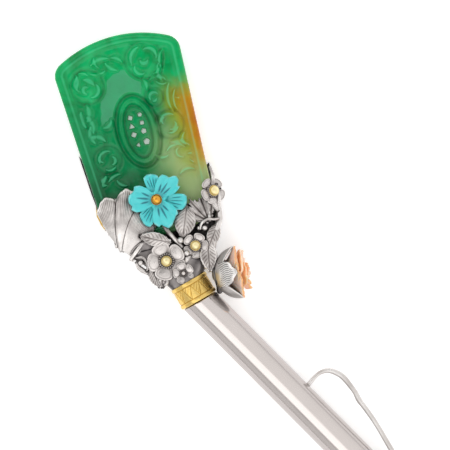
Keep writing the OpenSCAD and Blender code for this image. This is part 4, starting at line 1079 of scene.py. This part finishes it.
def make_ferrule():
    """Band with a rim at each end and an engraved zigzag of hatched triangles between them."""
    s = Shell()
    around, teeth, zigzag_half, rim_groove = 520, 12, 1.55, 0.98
    h, a = lattice((-FERRULE_H / 2, FERRULE_H / 2, 60), around)
    d = FERRULE_H / 2 - np.abs(h)
    band = smooth(1.02, 1.12, d)
    phase = a * teeth / (2 * pi)
    edge = (h / zigzag_half + 1) / 2 - 2 * np.abs(phase - np.floor(phase) - 0.5)
    zigzag = hump(edge, 0.075) * band
    hatch = groove(h * 0.9 + phase * 3, 0.13) * band * smooth(0.1, 0.16, np.abs(edge)) * (edge > 0)
    seam = hump(a - 2.35, 0.012)
    r = FERRULE_R - 0.16 + 0.16 * smooth(0.0, 0.14, d) - 0.2 * smooth(0.86, 1.0, d)
    r = r - 0.14 * hump(d - rim_groove, 0.09) - 0.05 * hump(d - 0.2, 0.07)
    r = r - 0.06 * zigzag - 0.03 * hatch - 0.12 * seam
    tone = 0.85 - 0.5 * zigzag - 0.38 * hatch - 0.5 * hump(d - rim_groove, 0.1) - 0.5 * seam
    outside = np.stack([r * np.cos(a), r * np.sin(a), h], -1)
    bore = FERRULE_R - 0.7
    h, a = lattice((FERRULE_H / 2, -FERRULE_H / 2, 3), around)
    inside = np.stack([bore * np.cos(a), bore * np.sin(a), h], -1)
    s.grid(np.concatenate([outside, inside, outside[:1]]),
           np.concatenate([tone, np.full((3, around), 0.5), tone[:1]]), wrap_j=True)
    s.piece("engraved_band", GOLD, "gold_band", "gold_ferrule", where=from_band)


make_ferrule()


ASLANT_FROM, ASLANT_TO = 0.4, 6.0  # the slant of the shaft's end dies out between these


def make_shaft():
    """A round bar, cut aslant at the ferrule, that tapers to a round tip. Its flanks get a low tone, which
    paints shade on them.
    """
    s = Shell()
    taper, long = SHAFT_R - TIP_R, SHAFT_LEN - TIP_R - STRAIGHT
    end = [[0.01, 0.15], [SHAFT_R - 0.35, 0.15], [SHAFT_R - 0.1, 0.2]] + [[SHAFT_R, x] for x in (0.4, 0.5, 0.7)]
    even = [[SHAFT_R, x] for x in np.linspace(0.7, STRAIGHT, 30)[1:]]
    narrowing = [[SHAFT_R - taper * t * t, STRAIGHT + long * t] for t in np.linspace(0, 1, 40)[1:]]
    tip = [[max(0.002, TIP_R * math.cos(t)), SHAFT_LEN - TIP_R + TIP_R * math.sin(t)]
           for t in np.linspace(0, pi / 2, 24)[1:]]
    r, x = np.array(end + even + narrowing + tip).T[..., None]
    a = spaced(192)
    side, up = r * np.cos(a), r * np.sin(a)
    aslant = math.tan(BAND_TURN) * side * np.clip(1 - (x - ASLANT_FROM) / (ASLANT_TO - ASLANT_FROM), 0, 1)
    # Painted shade on the flanks, which face sideways and down
    flank = smooth(0.58, 0.76, np.abs(np.cos(a)))
    s.grid(np.stack([x + aslant, side, up], -1), 1 - 0.85 * flank, wrap_j=True, flip=True)
    s.piece("polished_shaft", POLISHED, "polished_silver", "shaft", where=from_axis)


make_shaft()

# Route of the prong beside the shaft. Columns: along the shaft, across it, thickness as a share of the wire's
PRONG_R = 0.62
PRONG = [
    [32.5, 4.35, 0.9], [32.3, 6.6, 0.8], [32.5, 8.4, 0.85], [33.5, 10, 1], [35.2, 10.9, 1.1], [37, 11.3, 1.15],
    [39.6, 11.1, 1.1], [41.6, 10.8, 1.05], [43.5, 10.2, 1.15], [46.2, 9.8, 1], [50.7, 9, 1], [57, 7.4, 1],
    [62, 6.1, 0.95], [64.6, 5.6, 0.9], [66, 5.8, 0.7]]


def make_prong():
    route = curve(PRONG, 320)
    s = Shell()
    s.tube(route * [1, 1, 0], PRONG_R * route[:, 2], 0.6, sides=24, knots=22.0, seed=4)
    s.piece("twig_prong", TWIG_SILVER, "prong_silver", "hair_prong", where=from_axis)


make_prong()

# Rim of the cup's front petal: how far up it is seen, how far along the cup its edge comes
FRONT_RIM = np.array([
    [-2.9, 2.7], [-2.3, 3.8], [-1.63, 4.35], [-1.2, 4.45], [-0.64, 4.9], [0, 5.4], [0.64, 5.36], [1.1, 5.0],
    [1.6, 4.4], [2.2, 4.2], [2.7, 3.8], [2.9, 2.9]])
# The cup's other petals. Columns: angle round it, height at the middle and at the sides, bluntness, half the
# angle that it takes, how far it lies inside the cup
CUP_PETALS = [[-90, 5.9, 1.9, 1.0, 62, 0.35], [90, 6.5, 2.2, 2.4, 62, 0.35], [180, 5.9, 1.9, 1.2, 50, 0.5]]
CUP_LOW, WAVE_GAP = 0.3, 0.47  # where the front petal starts, distance between its wavy lines
CUP_FOOT = [[0.01, -0.35], [0.8, -0.3], [1.3, 0.0], [2.4, 0.3], [0.01, 0.9]]
CUP_STALK = [[8.9, 0.8, AXIS_Z], [9.1, 2.4, AXIS_Z + 0.9], [8.9, 4.4, AXIS_Z + 1.9]]


def cup_radius(h):
    """Outer radius of the cup at a height along its axis."""
    return CUP_R * np.sqrt(np.clip(1 - (1 - h / CUP_DEEP) ** 2, 0, 1))


def make_cup():
    s = Shell()
    t, x = lattice((0, 1, 52), (-1, 1, 116))
    up = FRONT_RIM[-1, 0] * x
    h = CUP_LOW + (np.interp(up, FRONT_RIM[:, 0], FRONT_RIM[:, 1]) - CUP_LOW) * t
    side = up * (0.35 + 0.65 * smooth(0, 0.45, t))
    wave = groove(up / WAVE_GAP + 0.3 * np.sin(h * 4.2) + 0.12 * np.sin(h * 9), 0.17)
    wave = wave * smooth(0.24, 0.36, t) * smooth(0.93, 0.8, t)
    front = np.sqrt(np.clip(cup_radius(h) ** 2 - side ** 2, 0.01, None)) - 0.12 * wave
    tone = 0.82 - 0.62 * wave + 0.15 * smooth(0.93, 1, t)
    s.sheet(np.stack([front, -side, h], -1), CUP_THICK, tone, under=0.4)
    for angle, high, low, blunt, half, inset in CUP_PETALS:
        h = 0.12 + (low + (high - low) * (1 - np.abs(x) ** blunt) - 0.12) * t
        fine = groove(x * 11, 0.12) * smooth(0.2, 0.4, t) * smooth(0.95, 0.8, t)
        p = polar((0, 0), cup_radius(h) - inset - 0.02 * fine, angle + half * x, h)
        tone = 0.6 - 0.12 * fine + 0.25 * smooth(0.95, 1, t)
        s.sheet(p[:, ::-1], CUP_THICK, tone[:, ::-1], under=0.35)
    s.lathe(CUP_FOOT, [0, 0, 0], 0.4, 48)
    s.piece("lotus_cup_petals", CUP_SILVER, "cup_silver", "lotus_cup", where=from_cup)
    s = Shell()
    s.tube(curve(CUP_STALK, 24), np.linspace(0.75, 0.6, 24), 0.5)
    s.piece("cup_stalk", DARK_SILVER, "cup_silver", "lotus_cup")


make_cup()

# Coral petals. Columns: angle above the front as seen round the cup's axis, radius and height of the base,
# radius and height of the tip, width, curl, raggedness, warmth of the colour
CORAL_PETALS = [
    [58, 1.6, 2.4, 5.7, 6.2, 6.4, 0.5, 0.3, 0.0], [12, 1.6, 2.6, 5.0, 6.3, 5.6, 0.4, 0.2, 0.0],
    [-30, 1.6, 2.5, 5.1, 6.8, 5.6, 0.4, 0.3, 0.0], [-68, 1.6, 2.4, 5.5, 6.9, 5.6, 0.4, 0.3, 0.0],
    [130, 1.6, 2.5, 5.2, 6.2, 6.0, 0.5, 0.3, 0.0], [185, 1.6, 2.5, 5.2, 6.2, 6.0, 0.5, 0.3, 0.0],
    [240, 1.6, 2.5, 5.2, 6.2, 6.0, 0.5, 0.3, 0.0],
    [44, 0.9, 3.4, 4.6, 7.5, 6.6, 0.6, 0.25, 0.75], [-4, 0.9, 3.5, 3.7, 8.0, 5.8, 0.5, 0.35, 0.35],
    [-50, 0.9, 3.4, 3.8, 8.5, 4.8, 0.5, 0.8, 0.1], [100, 0.9, 3.4, 4.0, 7.8, 4.8, 0.6, 0.5, 0.4],
    [160, 0.9, 3.4, 3.8, 8.0, 4.6, 0.6, 0.6, 0.2], [215, 0.9, 3.4, 3.8, 8.0, 4.6, 0.6, 0.6, 0.1],
    [20, 0.3, 4.6, 1.6, 8.5, 3.4, 0.4, 0.4, 0.5], [190, 0.3, 4.6, 1.5, 8.6, 3.2, 0.4, 0.8, 0.3]]


def make_coral():
    s = Shell()
    t, x = lattice((0, 1, 34), (-1, 1, 40))
    for k, (angle, r0, h0, r1, h1, w, curl, rag, warm) in enumerate(CORAL_PETALS):
        length = math.hypot(r1 - r0, h1 - h0)
        away, up = (r1 - r0) / length, (h1 - h0) / length
        edge = 1 - 0.2 * np.abs(x) ** 2.6 + rag * (0.05 * np.sin(x * 7 + 2 * k) + 0.035 * np.sin(x * 15 + k))
        half = w / 2 * (0.35 + 0.65 * np.sin(np.clip(t * 1.3, 0, 1) * pi / 2))
        out = curl * (t ** 3 - 0.5 * np.sin(pi * t)) + 0.7 * (1 - x * x) * np.sin(pi * t * 0.7)
        out = out - 0.25 * x * x * t + rag * 0.08 * np.sin(x * 5 + k) * t * t
        along = length * t * edge
        p = np.stack([r0 + away * along + up * out, half * x, h0 + up * along - away * out], -1)
        # Painted shade along each petal: darker at its base, paler at its tip
        shade = 0.18 + 0.3 * t + 0.1 * ripple(t * 2.5, x * 1.5, k) + 0.14 * smooth(0.9, 1, t)
        tone = np.clip(0.12 + shade * 0.6 + 0.4 * warm, 0, 1)
        s.sheet(turned(p, 0, 1, -angle * DEGREE)[:, ::-1], CORAL_THICK, tone[:, ::-1], under=0.3 + 0.3 * warm)
    s.lathe([[0.01, 0.95], [1.5, 0.95], [2.1, 3.0], [2.4, 5.3], [0.01, 5.6]], [0, 0, 0], 0.35, 40)
    s.piece("coral_petals", CORAL, "coral", "coral_flower", where=from_cup)


make_coral()


# Floor, light and camera
FLOOR_HALF, FLOOR_Z = 2.0, -0.2 * MM  # in metres, a hair below the hairpin so that the two don't flicker


def make_floor():
    """A light table of frosted acrylic: white, dull, and glowing a little, so that shadows on it are faint."""
    mesh = bpy.data.meshes.new("floor")
    corners = [(x * FLOOR_HALF, y * FLOOR_HALF, 0) for x, y in ((-1, -1), (1, -1), (1, 1), (-1, 1))]
    mesh.from_pydata(corners, [], [(0, 1, 2, 3)])
    ob = bpy.data.objects.new("floor", mesh)
    bpy.context.scene.collection.objects.link(ob)
    n = Nodes(bpy.data.materials.new("acrylic light table, frosted white"))
    mesh.materials.append(n.shade(Base_Color="#f4f4f4", Roughness=0.9, Specular_IOR_Level=0.1,
                                  Emission_Color="#ffffff", Emission_Strength=0.4))
    ob.location.z = FLOOR_Z


# The sky across the shaft. Columns: degrees from straight up towards the lower left, brightness
SKY = [[-90, 0.85], [-50, 0.94], [-30, 0.96], [-3, 0.96], [2, 1.5], [40, 1.55], [44, 0.58], [50, 0.52],
       [56, 0.72], [90, 0.66]]


def make_sky():
    """White, with one broad soft band of light, and a dark flag behind the head that keeps the jade clear."""
    n = Nodes(bpy.data.worlds.new("studio"))
    x = n.add("SeparateXYZ", n.add("TexCoord", out="Generated"))
    y, z = x.node.outputs["Y"], x.node.outputs["Z"]
    across = n.add("Math", n.add("Math", y, -1.0, operation="MULTIPLY"), z, operation="ARCTAN2")
    turn = n.add("MapRange", across, -pi / 2, pi / 2, interpolation_type="LINEAR")
    colour = n.add("ValToRGB", turn, stops=[
        ((degrees + 90) / 180, (level, level * 0.985, level * 0.975, 1.0)) for degrees, level in SKY])
    flag = n.add("MapRange", n.add("Math", y, operation="ABSOLUTE"), 0.42, 0.22)
    for start, full in ((-0.045, -0.1), (-0.5, -0.36)):
        flag = n.add("Math", flag, n.add("MapRange", x, start, full), operation="MULTIPLY")
    light = n.add("Math", flag, -0.88, 1.0, operation="MULTIPLY_ADD")
    bpy.context.scene.world = n.shade("Background", Color=colour, Strength=light)


# The camera looks straight down at the middle of the photograph
LOOK = np.array([-8.282, 16.836]) - MID
UP_ANGLE = math.radians(45.2)
FOCAL, SENSOR, VIEW_WIDTH, LOOK_Z = 120.0, 36.0, 0.1062, 0.006


def make_camera():
    camera = bpy.data.cameras.new("camera")
    camera.lens, camera.sensor_width = FOCAL, SENSOR
    ob = bpy.data.objects.new("camera", camera)
    ob.location = (LOOK[0] * MM, LOOK[1] * MM, LOOK_Z + VIEW_WIDTH * FOCAL / SENSOR)
    ob.rotation_euler = (0.0, 0.0, UP_ANGLE)
    bpy.context.scene.collection.objects.link(ob)
    bpy.context.scene.camera = ob
    bpy.context.scene.view_settings.view_transform = "Standard"


make_floor()
make_sky()
make_camera()
